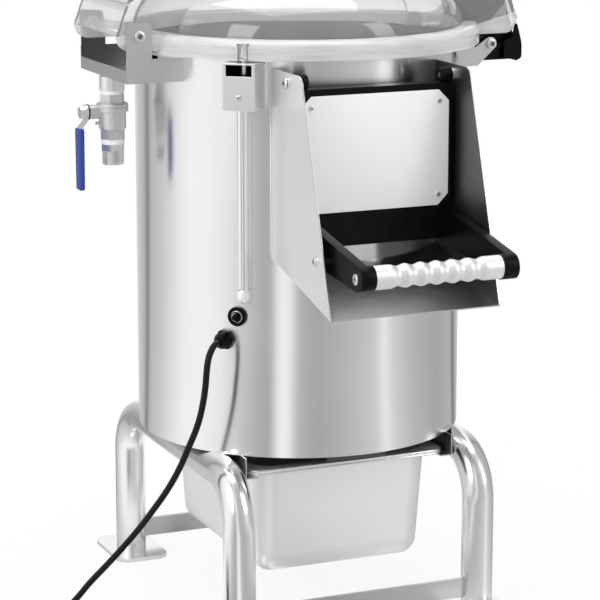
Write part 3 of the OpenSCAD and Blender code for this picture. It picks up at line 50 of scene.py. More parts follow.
CAMERA_LENS = 150.96


def add_camera():
    data = bpy.data.cameras.new("camera")
    data.sensor_width = 36
    data.lens = CAMERA_LENS
    camera = bpy.data.objects.new("camera", data)
    camera.location = CAMERA_AT
    camera.rotation_euler = (math.pi / 2 - CAMERA_DIP, 0, CAMERA_TURN)
    bpy.context.scene.collection.objects.link(camera)
    bpy.context.scene.camera = camera


add_camera()

# Mains lead: its route down to the floor, then the coil out of view
CORD_RADIUS = 0.004
CORD_ROUTE = [
    (-0.1702, -0.1517, 0.369), (-0.176, -0.1569, 0.368), (-0.1814, -0.1617, 0.365), (-0.186, -0.1658, 0.3602),
    (-0.1896, -0.169, 0.354), (-0.1919, -0.1709, 0.3463), (-0.1932, -0.1713, 0.336), (-0.1942, -0.1702, 0.321),
    (-0.1962, -0.168, 0.302), (-0.202, -0.165, 0.274), (-0.212, -0.159, 0.244), (-0.222, -0.15, 0.214),
    (-0.233, -0.138, 0.186), (-0.246, -0.123, 0.158), (-0.261, -0.107, 0.129), (-0.277, -0.091, 0.102),
    (-0.294, -0.077, 0.077), (-0.312, -0.065, 0.053), (-0.326, -0.057, 0.033), (-0.34, -0.052, 0.018),
    (-0.354, -0.0495, 0.0085), (-0.364, -0.0494, 0.0054), (-0.372, -0.0494, 0.0052),
]
TIE_THICKNESS = 0.0012
COIL_CENTRE = (-0.38, -0.105)
COIL_TURNS = 4.5
COIL_MEAN = 0.047
COIL_PITCH = 0.0086
COIL_TAIL = 1.2 * COIL_MEAN
COIL_LAYER = 2 * CORD_RADIUS + CORD_RADIUS / 8


def coil_point(turn):
    """The point of the coil after so many turns: it spirals in, climbs a layer and spirals out."""
    inner = COIL_MEAN - COIL_PITCH
    if turn < 2:
        radius, rise = COIL_MEAN + COIL_PITCH * (1 - turn), 0
    elif turn < 2.5:
        radius = inner - COIL_PITCH / 4 * math.sin(2 * math.pi * (turn - 2))
        rise = (1 - math.cos(2 * math.pi * (turn - 2))) / 2
    else:
        radius, rise = inner + COIL_PITCH * (turn - 2.5), 1
    angle = 2 * math.pi * turn
    height = CORD_RADIUS + TIE_THICKNESS + COIL_LAYER * rise
    return (COIL_CENTRE[0] - radius * math.sin(angle), COIL_CENTRE[1] + radius * math.cos(angle), height)


def add_cord():
    steps = int(24 * COIL_TURNS)
    points = CORD_ROUTE + [coil_point(i / 24) for i in range(steps + 1)]
    end = Vector(points[-1])
    points.append(end + Vector((COIL_TAIL, 0, 0)))
    curve = bpy.data.curves.new("mains_lead", "CURVE")
    curve.dimensions = "3D"
    spline = curve.splines.new("BEZIER")
    spline.bezier_points.add(len(points) - 1)
    for knot, point in zip(spline.bezier_points, points):
        knot.co = point
        knot.handle_left_type = "AUTO"
        knot.handle_right_type = "AUTO"
        knot.radius = CORD_RADIUS
    spline.resolution_u = 4
    curve.bevel_depth = 1
    curve.bevel_resolution = 5
    curve.use_fill_caps = True
    cord = bpy.data.objects.new("mains_lead", curve)
    bpy.context.scene.collection.objects.link(cord)
    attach(cord, "stand")
    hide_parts("cord_lead", "cord_coil")
    return cord


lead = add_cord()


# Shared shader effects, each a node group with its own inputs
class Nodes:
    """Small helper that adds and joins shader nodes."""

    def __init__(self, tree):
        self.tree = tree

    def add(self, kind, **values):
        node = self.tree.nodes.new(kind)
        for name, value in values.items():
            if hasattr(node, name):
                setattr(node, name, value)
            else:
                node.inputs[name.replace("_", " ")].default_value = value
        return node

    def join(self, source, target):
        self.tree.links.new(source, target)

    def math(self, operation, first, second):
        node = self.add("ShaderNodeMath", operation=operation)
        for socket, value in zip(node.inputs, (first, second)):
            if isinstance(value, (int, float)):
                socket.default_value = value
            else:
                self.join(value, socket)
        return node.outputs[0]

    def ramp(self, value, low, high, start=0.0, end=1.0):
        node = self.add("ShaderNodeMapRange")
        self.join(value, node.inputs["Value"])
        for name, number in (("From Min", low), ("From Max", high), ("To Min", start), ("To Max", end)):
            node.inputs[name].default_value = number
        return node.outputs["Result"]


def new_group(name, inputs, outputs):
    """A shader group with float inputs, given their first values, and named outputs."""
    group = bpy.data.node_groups.new(name, "ShaderNodeTree")
    for label, value in inputs.items():
        socket = group.interface.new_socket(label, in_out="INPUT", socket_type="NodeSocketFloat")
        socket.default_value = value
    for label in outputs:
        group.interface.new_socket(label, in_out="OUTPUT", socket_type="NodeSocketFloat")
    nodes = Nodes(group)
    return group, nodes, nodes.add("NodeGroupInput"), nodes.add("NodeGroupOutput")


def make_grain_group():
    """Fine lines along one direction, as a belt sander leaves them, with broad soft variation."""
    group, n, inside, outside = new_group(
        "brushed_grain",
        {"Across X": 40.0, "Across Y": 40.0, "Across Z": 900.0},
        ("Height", "Cloud"),
    )
    place = n.add("ShaderNodeTexCoord")
    scale = n.add("ShaderNodeCombineXYZ")
    for source, target in zip(inside.outputs, scale.inputs):
        n.join(source, target)
    stretched = n.add("ShaderNodeVectorMath", operation="MULTIPLY")
    n.join(place.outputs["Object"], stretched.inputs[0])
    n.join(scale.outputs[0], stretched.inputs[1])
    lines = n.add("ShaderNodeTexNoise", Scale=1.0, Detail=3.0, Roughness=0.6)
    n.join(stretched.outputs[0], lines.inputs["Vector"])
    cloud = n.add("ShaderNodeTexNoise", Scale=6.0, Detail=3.0, Roughness=0.5)
    n.join(place.outputs["Object"], cloud.inputs["Vector"])
    n.join(lines.outputs["Fac"], outside.inputs["Height"])
    n.join(cloud.outputs["Fac"], outside.inputs["Cloud"])
    return group


def make_ring_grain_group():
    """Fine lines that run round an upright axis through the origin, for the rolled and polished drum."""
    group, n, inside, outside = new_group("ring_grain", {"Fineness": 900.0}, ("Height", "Cloud"))
    place = n.add("ShaderNodeTexCoord")
    parts = n.add("ShaderNodeSeparateXYZ")
    n.join(place.outputs["Object"], parts.inputs[0])
    turn = n.math("ARCTAN2", parts.outputs[1], parts.outputs[0])
    rise = n.math("MULTIPLY", parts.outputs[2], inside.outputs["Fineness"])
    spot = n.add("ShaderNodeCombineXYZ")
    n.join(n.math("MULTIPLY", turn, 4.0), spot.inputs[0])
    n.join(rise, spot.inputs[2])
    lines = n.add("ShaderNodeTexNoise", Scale=1.0, Detail=3.0, Roughness=0.65)
    n.join(spot.outputs[0], lines.inputs["Vector"])
    cloud = n.add("ShaderNodeTexNoise", Scale=5.0, Detail=3.0, Roughness=0.5)
    n.join(place.outputs["Object"], cloud.inputs["Vector"])
    n.join(lines.outputs["Fac"], outside.inputs["Height"])
    n.join(cloud.outputs["Fac"], outside.inputs["Cloud"])
    return group


def make_wear_group():
    """A mask that is high on sharp outer edges and in scattered small rubs."""
    group, n, inside, outside = new_group("edge_wear", {"Width": 0.02, "Rub Scale": 60.0}, ("Mask", "Rubs"))
    shape = n.add("ShaderNodeNewGeometry")
    limit = n.math("ADD", inside.outputs["Width"], 0.5)
    edge = n.math("SUBTRACT", shape.outputs["Pointiness"], limit)
    strong = n.math("MULTIPLY", edge, 12.0)
    place = n.add("ShaderNodeTexCoord")
    rubs = n.add("ShaderNodeTexNoise", Detail=5.0, Roughness=0.7)
    n.join(place.outputs["Object"], rubs.inputs["Vector"])
    n.join(inside.outputs["Rub Scale"], rubs.inputs["Scale"])
    broken = n.ramp(rubs.outputs["Fac"], 0.4, 0.62)
    mask = n.math("MULTIPLY", strong, broken)
    clamp = n.add("ShaderNodeClamp")
    n.join(mask, clamp.inputs[0])
    n.join(clamp.outputs[0], outside.inputs["Mask"])
    n.join(rubs.outputs["Fac"], outside.inputs["Rubs"])
    return group


def make_texture_group():
    """The fine pebbled skin of moulded plastic and rubber."""
    group, n, inside, outside = new_group("moulded_skin", {"Scale": 900.0}, ("Height", "Cloud"))
    place = n.add("ShaderNodeTexCoord")
    pebble = n.add("ShaderNodeTexNoise", Detail=2.0, Roughness=0.5)
    n.join(place.outputs["Object"], pebble.inputs["Vector"])
    n.join(inside.outputs["Scale"], pebble.inputs["Scale"])
    cloud = n.add("ShaderNodeTexNoise", Scale=14.0, Detail=4.0, Roughness=0.6)
    n.join(place.outputs["Object"], cloud.inputs["Vector"])
    n.join(pebble.outputs["Fac"], outside.inputs["Height"])
    n.join(cloud.outputs["Fac"], outside.inputs["Cloud"])
    return group


GRAIN = make_grain_group()
RING_GRAIN = make_ring_grain_group()
WEAR = make_wear_group()
SKIN = make_texture_group()


def start_material(name, **sockets):
    """A material whose Principled shader has its constant values on its own sockets."""
    material = bpy.data.materials.new(name)
    material.use_nodes = True
    shader = material.node_tree.nodes["Principled BSDF"]
    for label, value in sockets.items():
        shader.inputs[label.replace("_", " ")].default_value = value
    return material, Nodes(material.node_tree), shader


def place_group(nodes, group, **values):
    node = nodes.add("ShaderNodeGroup")
    node.node_tree = group
    for label, value in values.items():
        node.inputs[label.replace("_", " ")].default_value = value
    return node


def mix_colours(nodes, factor, first, second):
    """Two colours mixed by a mask that changes over the surface."""
    node = nodes.add("ShaderNodeMix", data_type="RGBA")
    nodes.join(factor, node.inputs[0])
    node.inputs[6].default_value = (*first, 1)
    node.inputs[7].default_value = (*second, 1)
    return node.outputs[2]


def add_bump(nodes, shader, height, strength, distance):
    bump = nodes.add("ShaderNodeBump", Strength=strength, Distance=distance)
    nodes.join(height, bump.inputs["Height"])
    nodes.join(bump.outputs["Normal"], shader.inputs["Normal"])


def grey(level):
    return (level, level, level)


def brushed(name, dark, light, rough, across, bump=0.03, **sockets):
    """Brushed or ground metal: across gives how fine its lines are along X, Y and Z."""
    material, n, shader = start_material(name, **{"Metallic": 1.0, **sockets})
    grain = place_group(n, GRAIN, Across_X=across[0], Across_Y=across[1], Across_Z=across[2])
    finish_metal(n, shader, grain, dark, light, rough, bump)
    return material


def finish_metal(n, shader, grain, dark, light, rough, bump):
    cloud = n.ramp(grain.outputs["Cloud"], 0.3, 0.7)
    n.join(mix_colours(n, cloud, dark, light), shader.inputs["Base Color"])
    fine = n.ramp(grain.outputs["Height"], 0.25, 0.75, -0.04, 0.04)
    broad = n.ramp(grain.outputs["Cloud"], 0.3, 0.7, rough[0], rough[1])
    n.join(n.math("ADD", fine, broad), shader.inputs["Roughness"])
    add_bump(n, shader, grain.outputs["Height"], bump, 0.0001)


# Two radii within the drum's wall, between which the painted shade of the inside passes into the outside's
# colour
WALL_BORE = 0.2058
WALL_FACE = 0.2065


def drum_metal(name, dark, light, inner, rough):
    """Rolled stainless brushed round the drum, so that its highlights stretch into upright bands.

    The inside of the wall gets a darker colour, inner, which is painted shade.
    """
    material, n, shader = start_material(name, Metallic=1.0, Anisotropic=0.8, Anisotropic_Rotation=0.25)
    grain = place_group(n, RING_GRAIN, Fineness=1400.0)
    around = n.add("ShaderNodeTangent", direction_type="RADIAL", axis="Z")
    n.join(around.outputs[0], shader.inputs["Tangent"])
    finish_metal(n, shader, grain, dark, light, rough, 0.015)
    place = n.add("ShaderNodeTexCoord")
    parts = n.add("ShaderNodeSeparateXYZ")
    n.join(place.outputs["Object"], parts.inputs[0])
    across = n.math("MULTIPLY", parts.outputs[0], parts.outputs[0])
    along = n.math("MULTIPLY", parts.outputs[1], parts.outputs[1])
    # Painted shade: the inside of the wall is coloured darker, inner, than the brushed outside
    outside = n.ramp(n.math("ADD", across, along), WALL_BORE ** 2, WALL_FACE ** 2)
    painted_shade_mix = mix_colours(n, outside, inner, light)
    n.join(shader.inputs["Base Color"].links[0].from_socket, painted_shade_mix.node.inputs[7])
    n.join(painted_shade_mix, shader.inputs["Base Color"])
    return material


def moulded(name, colour, worn, rough, skin=900.0, bump=0.06, **sockets):
    """Moulded plastic or rubber with a pebbled skin and paler edges."""
    material, n, shader = start_material(name, **sockets)
    skin_node = place_group(n, SKIN, Scale=skin)
    wear = place_group(n, WEAR, Width=0.05, Rub_Scale=70.0)
    n.join(mix_colours(n, wear.outputs["Mask"], colour, worn), shader.inputs["Base Color"])
    n.join(n.ramp(skin_node.outputs["Cloud"], 0.3, 0.7, rough[0], rough[1]), shader.inputs["Roughness"])
    add_bump(n, shader, skin_node.outputs["Height"], bump, 0.0001)
    return material


def clear_material(name, tint, rough, through, lines=1.0):
    """Clear moulded plastic whose colour goes towards white in bands round the upright axis: broad and faint
    on the dome, and fine painted highlight lines round a thick edge, which also lets less light through.
    """
    material, n, shader = start_material(name, Transmission_Weight=through, IOR=1.42, Specular_IOR_Level=0.5)
    skin_node = place_group(n, SKIN, Scale=30.0)
    # Painted highlight: the colour goes towards white in bands round the upright axis
    painted_highlight_streaks = n.ramp(place_group(n, RING_GRAIN, Fineness=lines).outputs["Height"], 0.32, 0.6)
    n.join(mix_colours(n, painted_highlight_streaks, tint, (1, 1, 1)), shader.inputs["Base Color"])
    n.join(n.ramp(skin_node.outputs["Cloud"], 0.3, 0.75, rough[0], rough[1]), shader.inputs["Roughness"])
    return material


# How fine the brushed lines are along X, Y and Z
UPRIGHT_LINES = (60.0, 60.0, 900.0)
SIDE_LINES = (900.0, 60.0, 60.0)
PLATE_LINES = (20.0, 60.0, 1400.0)
TUBE_LINES = (60.0, 60.0, 16.0)


def even(fineness):
    """Grain that is as fine along all three axes."""
    return (fineness, fineness, fineness)


FINISHES = {
    # The drum's third colour, grey(0.26), is painted shade for the inside of its wall
    "drum": drum_metal("drum_steel", grey(0.86), grey(0.9), grey(0.26), (0.19, 0.23)),
    "sheet": brushed("sheet_steel", grey(0.6), grey(0.66), (0.3, 0.36), UPRIGHT_LINES),
    "pale": brushed("folded_steel", grey(0.84), grey(0.88), (0.3, 0.36), UPRIGHT_LINES),
    # Painted light: a paler, less metallic copy of the sheet steel, for the outer face of the chute's left
    # cheek
    "side": brushed("painted_light_side_steel", grey(0.9), grey(0.93), (0.34, 0.4), UPRIGHT_LINES, Metallic=0.7),
    "plate": brushed("plate_steel", grey(0.96), grey(0.99), (0.36, 0.42), PLATE_LINES, bump=0.05,
                     Metallic=0.18),
    "tube": brushed("tube_steel", grey(0.9), grey(0.94), (0.2, 0.24), TUBE_LINES, bump=0.004),
    "pan": brushed("pan_steel", grey(0.95), grey(0.98), (0.34, 0.38), even(80.0), bump=0.005, Metallic=0.6),
    "turned": brushed("turned_steel", grey(0.78), grey(0.86), (0.26, 0.34), even(500.0), bump=0.02),
    # Painted shade: a dark copy of the steel, for the chamber's floor and the base plate
    "under": brushed("painted_shade_underside_steel", grey(0.1), grey(0.14), (0.4, 0.46), even(60.0)),
    "bright": brushed("bright_tube_steel", grey(0.92), grey(0.95), (0.16, 0.2), TUBE_LINES, bump=0.004),
    "plated": brushed("plated_brass", (0.6, 0.595, 0.59), (0.76, 0.755, 0.75), (0.36, 0.48), even(200.0),
                      bump=0.08),
    "cast": brushed("cast_alloy", (0.4, 0.41, 0.42), (0.52, 0.53, 0.54), (0.45, 0.6), even(300.0), bump=0.4),
    "grip": brushed("ridged_aluminium", grey(0.9), grey(0.94), (0.38, 0.44), SIDE_LINES, bump=0.01,
                    Metallic=0.85),
    "grit": moulded("abrasive_grit", (0.1, 0.095, 0.09), (0.2, 0.19, 0.18), (0.75, 0.95), skin=500.0,
                    bump=0.9),
    "enamel": moulded("black_enamel", (0.02, 0.02, 0.022), (0.08, 0.08, 0.08), (0.25, 0.4), skin=200.0),
    "black": moulded("black_plastic", grey(0.003), grey(0.006), (0.33, 0.35), Specular_IOR_Level=0.1),
    "rubber": moulded("black_rubber", grey(0.004), grey(0.015), (0.36, 0.4), skin=1500.0,
                      Specular_IOR_Level=0.25),
    "blue": moulded("blue_vinyl", (0.02, 0.05, 0.3), (0.04, 0.1, 0.45), (0.35, 0.42), skin=300.0),
    "tape": moulded("white_tape", (0.8, 0.8, 0.78), (0.9, 0.9, 0.89), (0.5, 0.7), skin=400.0, bump=0.6),
    "red": moulded("red_plastic", (0.5, 0.015, 0.015), (0.7, 0.1, 0.08), (0.25, 0.35)),
    "green": moulded("green_plastic", (0.015, 0.3, 0.05), (0.1, 0.5, 0.15), (0.25, 0.35)),
    "clear": clear_material("clear_plastic", (0.97, 0.98, 0.98), (0.01, 0.05), 0.88),
    # Painted highlight: a milkier, paler copy of the clear plastic with fine white lines, for the lid's rolled
    # edge
    "edge": clear_material("clear_plastic_painted_highlight_edge", (0.82, 0.83, 0.83), (0.08, 0.14), 0.5, 300.0),
    # Painted shade: dark steel for the hinge bracket's trough, the inside of the chute's right cheek and the
    # floors of screw holes
    "painted_shade": brushed("painted_shade_steel", grey(0.16), grey(0.22), (0.4, 0.46), even(60.0)),
}
FINISH_OF = {
    "drum": ["drum_shell"],
    "sheet": ["chute", "hinge_bracket", "latch_bracket", "interlock_bracket", "control_box", "cross_bars",
              "pan_rails"],
    "under": ["chamber_floor", "base_plate"],
    "plate": ["door_plate"],
    "tube": ["left_frame", "right_frame", "foot_plates"],
    "pan": ["peel_pan"],
    "turned": ["drive_shaft", "motor_shaft", "fixing_screws", "door_hinge_bolts", "lid_hinge_bolts",
               "latch_bolt", "door_plate_screws", "handle_rod", "lever_nut", "valve_lever", "valve_ball",
               "inlet_nipple", "hose_nipple", "shaft_bearings", "interlock_pin"],
    "bright": ["conduit_tube"],
    "plated": ["valve_body"],
    "cast": ["bearing_housing", "disc_pulley", "motor_pulley", "motor_plate"],
    "grip": ["handle_grip"],
    "grit": ["abrasive_disc"],
    "enamel": ["motor_housing"],
    "black": ["door_panel", "door_arms", "lid_latch", "interlock_switch", "reset_bezel", "cable_gland",
              "mains_plug", "timer_knob", "cord_tie", "reset_button"],
    "rubber": ["rim_gasket", "shaft_seal", "drive_belt"],
    "blue": ["lever_sleeve"],
    "tape": ["thread_seals"],
    "red": ["stop_button", "switch_plunger"],
    "green": ["start_button"],
    "clear": ["lid_shell"],
}


def finish_piece(piece, finish):
    """Puts a finish in every material slot of a piece, or in a new one."""
    if not piece.material_slots:
        piece.data.materials.append(FINISHES[finish])
    for slot in piece.material_slots:
        slot.material = FINISHES[finish]


for finish, names in FINISH_OF.items():
    for name in names:
        finish_piece(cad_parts[name], finish)
finish_piece(lead, "rubber")


# CAD pieces that show rounded edges: body, finish, slot and the width of the rounding
ROUNDED = {
    "door_arms": ("door", "black", "black_plastic", 0.0016),
    "door_panel": ("door", "black", "black_plastic", 0.0012),
    "lid_latch": ("latch", "black", "black_plastic", 0.0012),
    "reset_bezel": ("stand", "black", "black_plastic", 0.0006),
    "cable_gland": ("stand", "black", "black_plastic", 0.0003),
    "interlock_switch": ("stand", "black", "black_plastic", 0.0003),
    "hinge_bracket": ("stand", "sheet", "brushed_steel", 0.0004),
    "latch_bracket": ("stand", "sheet", "brushed_steel", 0.0004),
    "interlock_bracket": ("stand", "pale", "brushed_steel", 0.0004),
    "chute": ("stand", "sheet", "brushed_steel", 0.0003),
    "door_plate": ("door", "plate", "brushed_steel", 0.0003),
}


def add_piece(name, bm, body, finish, slot, *replaced):
    """Puts a finished mesh in the scene, riding its body."""
    bmesh.ops.recalc_face_normals(bm, faces=bm.faces)
    mesh = bpy.data.meshes.new(name)
    bm.to_mesh(mesh)
    bm.free()
    piece = bpy.data.objects.new(name, mesh)
    bpy.context.scene.collection.objects.link(piece)
    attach(piece, body)
    finish_piece(piece, finish)
    if replaced:
        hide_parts(*replaced)
    return piece


def copy_solid(name):
    """The mesh of a CAD piece, with its loose triangles joined up."""
    bm = bmesh.new()
    bm.from_mesh(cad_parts[name].data)
    bmesh.ops.remove_doubles(bm, verts=bm.verts, dist=1e-6)
    return bm


def smooth_faces(bm, limit=180):
    """Smooth shading, with the edges that turn by more than so many degrees kept sharp."""
    bm.normal_update()
    for face in bm.faces:
        face.smooth = True
    for edge in bm.edges:
        edge.smooth = edge.calc_face_angle(0) < math.radians(limit)


def soften(name, body, finish, slot, width):
    """A copy of a CAD piece with its sharp edges rounded, shown in its place."""
    bm = copy_solid(name)
    bmesh.ops.dissolve_limit(bm, angle_limit=math.radians(1), verts=bm.verts, edges=bm.edges)
    for face in bm.faces:
        angles = [edge.calc_face_angle(0) for edge in face.edges]
        face.smooth = any(math.radians(1) < angle < math.radians(30) for angle in angles)
    sharp = [edge for edge in bm.edges if edge.calc_face_angle(0) > math.radians(35)]
    made = bmesh.ops.bevel(bm, geom=sharp, offset=width, offset_type="OFFSET", segments=3, profile=0.5,
                           affect="EDGES", clamp_overlap=True, material=-1)
    for face in made["faces"]:
        face.smooth = True
    for edge in bm.edges:
        edge.smooth = edge.calc_face_angle(0) < math.radians(40)
    add_piece(name + "_rounded", bm, body, finish, slot, name)


for name, (body, finish, slot, width) in ROUNDED.items():
    soften(name, body, finish, slot, width)


# Faces of one piece that have another finish than the rest of it: a painted highlight on the lid's edge,
# painted shade in the hinge bracket's trough and on the chute's right cheek, painted light on the chute's left
# cheek
LID_EDGE_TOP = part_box("lid_shell")[0].z + 0.0245
LID_EDGE_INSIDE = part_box("drum_shell")[1].x - 0.003
FAR_EAR_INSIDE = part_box("hinge_bracket")[1].y - 0.007
TROUGH_LIP_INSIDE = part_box("hinge_bracket")[0].x + 0.005


def share_finish(piece, finish, wanted):
    """Gives the faces that a test picks another finish."""
    piece.data.materials.append(FINISHES[finish])
    for face in piece.data.polygons:
        if wanted(face.center, face.normal):
            face.material_index = len(piece.data.materials) - 1


def on_lid_edge(centre, normal):
    """The thick rolled edge that the lid rests on, which gets the painted highlight finish."""
    return centre.z < LID_EDGE_TOP and math.hypot(centre.x, centre.y) > LID_EDGE_INSIDE


def painted_shade_in_trough(centre, normal):
    """The far ear's inner face and the inside of the trough's outer lip, which get painted shade."""
    in_ear = centre.y > FAR_EAR_INSIDE and normal.y < -0.5
    in_lip = centre.x < TROUGH_LIP_INSIDE and normal.x > 0.5
    return in_ear or in_lip


# The outer face of the chute's left cheek, which gets painted light
def painted_light_outside_left_cheek(centre, normal):
    return centre.x < 0 and normal.x < -0.7


# The inside of the chute's right cheek, which gets painted shade
def painted_shade_inside_right_cheek(centre, normal):
    return centre.x > 0 and normal.x < -0.7


def add_lid():
    """The lid with smooth faces, its rolled edge milkier and paler than the dome with fine white lines, a
    painted highlight.
    """
    bm = copy_solid("lid_shell")
    smooth_faces(bm, 30)
    lid = add_piece("lid_smooth", bm, "lid", "clear", "clear_plastic", "lid_shell")
    share_finish(lid, "edge", on_lid_edge)


add_lid()
# Painted shade in the hinge bracket's trough and on the chute's right cheek, painted light on the chute's left
# cheek
share_finish(bpy.data.objects["hinge_bracket_rounded"], "painted_shade", painted_shade_in_trough)
share_finish(bpy.data.objects["chute_rounded"], "side", painted_light_outside_left_cheek)
share_finish(bpy.data.objects["chute_rounded"], "painted_shade", painted_shade_inside_right_cheek)


# Places taken from the CAD pieces
def middle(name):
    low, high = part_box(name)
    return (low + high) / 2


def face_at(name, axis, side):
    """Where a CAD piece ends along an axis."""
    low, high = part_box(name)
    return (high if side > 0 else low)[axis]


def out_from_drum(name, radius, z):
    """A place on the ray from the drum's axis through a CAD piece, and the way out of the drum there."""
    outward = middle(name)
    outward.z = 0
    outward.normalize()
    return outward * radius + Vector((0, 0, z)), outward


def turn_to(outward, at):
    """The matrix that takes +Z to a direction, and the origin to a place."""
    turned = Vector(outward).to_track_quat("Z", "Y").to_matrix().to_4x4()
    return Matrix.Translation(at) @ turned


def spin_profile(profile, steps=48):
    """A solid turned about Z from (radius, height) points, which go from axis to axis or round a ring."""
    bm = bmesh.new()
    line = [bm.verts.new((r, 0, z)) for r, z in profile]
    edges = [bm.edges.new(pair) for pair in zip(line, line[1:])]
    bmesh.ops.spin(bm, geom=line + edges, cent=(0, 0, 0), axis=(0, 0, 1), angle=2 * math.pi, steps=steps,
                   use_merge=True, use_duplicate=False)
    bmesh.ops.remove_doubles(bm, verts=bm.verts, dist=1e-7)
    return bm


# Screw and bolt heads: radius, height of the dome and radius of the driver's hole
DOOR_BOLT = (0.0066, 0.003, 0.0028)
SHOULDER_BOLT = (0.0066, 0.0016, 0.0036)
HANDLE_SCREW = (0.0066, 0.0014, 0.0036)
CATCH_SCREW = (0.0049, 0.0014, 0.0026)
BOX_SCREW = (0.003, 0.0009, 0.0018)
PLATE_SCREW = (0.0029, 0.0009, 0.0017)
COVER_SCREW = (0.0033, 0.0009, 0.0019)
CATCH_RIM = 0.0051
PLATE_SCREW_RIM = 0.003
BOX_SCREW_INSET = 0.0068
COVER_SCREW_REACH = 0.2475
COVER_SCREW_Z = 0.6722


def hexagon(angle):
    """How far a six-sided hole reaches at an angle, next to its corners."""
    return math.cos(math.pi / 6) / math.cos(angle % (math.pi / 3) - math.pi / 6)


def cross(angle):
    """How far a cross-shaped hole reaches at an angle."""
    slot_share = 0.22
    turned = abs((angle + math.pi / 4) % (math.pi / 2) - math.pi / 4)
    return min(1.0, slot_share / max(math.sin(turned), slot_share))


def make_screw_face(at, outward, sizes, shape):
    """The domed outer face of a screw head, with its driver's hole, whose floor takes a second material of
    painted shade.
    """
    radius, height, hole = sizes
    foot, rim, floor_z = -0.1 * height, 0.25 * height, 0.05 * height
    profile = [(0, foot), (radius, foot), (radius, rim)]
    for step in range(1, 7):
        turn = step / 6 * math.pi / 2
        profile.append((hole + (radius - hole) * math.cos(turn), rim + (height - rim) * math.sin(turn)))
    profile += [(hole * 0.96, floor_z), (0, floor_z)]
    bm = spin_profile(profile)
    for vert in bm.verts:
        away = math.hypot(vert.co.x, vert.co.y)
        if 1e-6 < away <= hole * 1.001:
            reach = shape(math.atan2(vert.co.y, vert.co.x))
            vert.co.x *= reach
            vert.co.y *= reach
    bm.normal_update()
    for face in bm.faces:
        face.smooth = abs(face.normal.z) < 0.999
        # The floor of the driver's hole takes the second material, painted shade
        face.material_index = 1 if 0 < face.calc_center_median().z < 2 * floor_z else 0
    for edge in bm.edges:
        edge.smooth = edge.calc_face_angle(0) < math.radians(35)
    bm.transform(turn_to(outward, at))
    return bm


def add_screw_faces():
    door, lid, latch = middle("door_hinge_bolts"), middle("lid_hinge_bolts"), middle("latch_bolt")
    handle = middle("handle_rod")
    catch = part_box("fixing_screws")[0] + Vector((0, CATCH_RIM, CATCH_RIM))
    catch_x, box_back = face_at("fixing_screws", 0, 1), face_at("fixing_screws", 1, 1)
    box_low, box_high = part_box("control_box")
    plate_low, plate_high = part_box("door_plate_screws")
    inset, rim = BOX_SCREW_INSET, PLATE_SCREW_RIM
    to_front, to_back = (0, -1, 0), (0, 1, 0)
    jobs = []
    for side, end in ((-1, "left"), (1, "right")):
        sideways, endways = (side, 0, 0), (0, side, 0)
        box_x = side * (box_high.x - inset)
        plate_x = side * (plate_high.x - rim)
        jobs += [
            (f"door_hinge_{end}_head", (face_at("door_hinge_bolts", 0, side), door.y, door.z), sideways,
             DOOR_BOLT, hexagon),
            (f"lid_hinge_{end}_head", (lid.x, face_at("lid_hinge_bolts", 1, side), lid.z), endways,
             SHOULDER_BOLT, hexagon),
            (f"latch_{end}_head", (latch.x, face_at("latch_bolt", 1, side), latch.z), endways,
             SHOULDER_BOLT, hexagon),
            (f"handle_{end}_head", (face_at("handle_rod", 0, side), handle.y, handle.z), sideways,
             HANDLE_SCREW, cross),
            (f"catch_{end}_head", (side * catch_x, catch.y, catch.z), sideways, CATCH_SCREW, cross),
            (f"box_{end}_low_head", (box_x, box_back, box_low.z + inset), to_back, BOX_SCREW, cross),
            (f"box_{end}_high_head", (box_x, box_back, box_high.z - inset), to_back, BOX_SCREW, cross),
            (f"plate_{end}_low_head", (plate_x, plate_low.y, plate_low.z + rim), to_front,
             PLATE_SCREW, cross),
            (f"plate_{end}_high_head", (plate_x, plate_low.y, plate_high.z - rim), to_front,
             PLATE_SCREW, cross),
        ]
    at, outward = out_from_drum("interlock_bracket", COVER_SCREW_REACH, COVER_SCREW_Z)
    jobs.append(("interlock_cover_head", at, outward, COVER_SCREW, cross))
    for name, at, outward, sizes, shape in jobs:
        body = "door" if name.startswith(("handle", "plate")) else "stand"
        head = add_piece(name, make_screw_face(at, outward, sizes, shape), body, "turned", "machined_steel")
        # Painted shade for the floor of the driver's hole
        head.data.materials.append(FINISHES["painted_shade"])


add_screw_faces()


def add_hose_thread():
    """The helical ridge of the hose thread under the valve."""
    pitch, turns, steps = 0.0018, 9, 32
    sunk, ridge, run_in = 0.0001, 0.0007, 0.0006
    low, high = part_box("hose_nipple")
    axis_x = middle("hose_nipple").x
    root, start = high.y - sunk, low.z + run_in
    bm = bmesh.new()
    points = [(root, start), (root + ridge, start + pitch * 0.45), (root, start + pitch * 0.9)]
    line = [bm.verts.new((axis_x + r, 0, z)) for r, z in points]
    edges = [bm.edges.new(pair) for pair in zip(line, line[1:])]
    bmesh.ops.spin(bm, geom=line + edges, cent=(axis_x, 0, 0), axis=(0, 0, 1), dvec=(0, 0, pitch / steps),
                   angle=2 * math.pi * turns, steps=turns * steps, use_merge=False, use_duplicate=False)
    add_piece("hose_thread", bm, "stand", "plated", "plated_brass")


add_hose_thread()


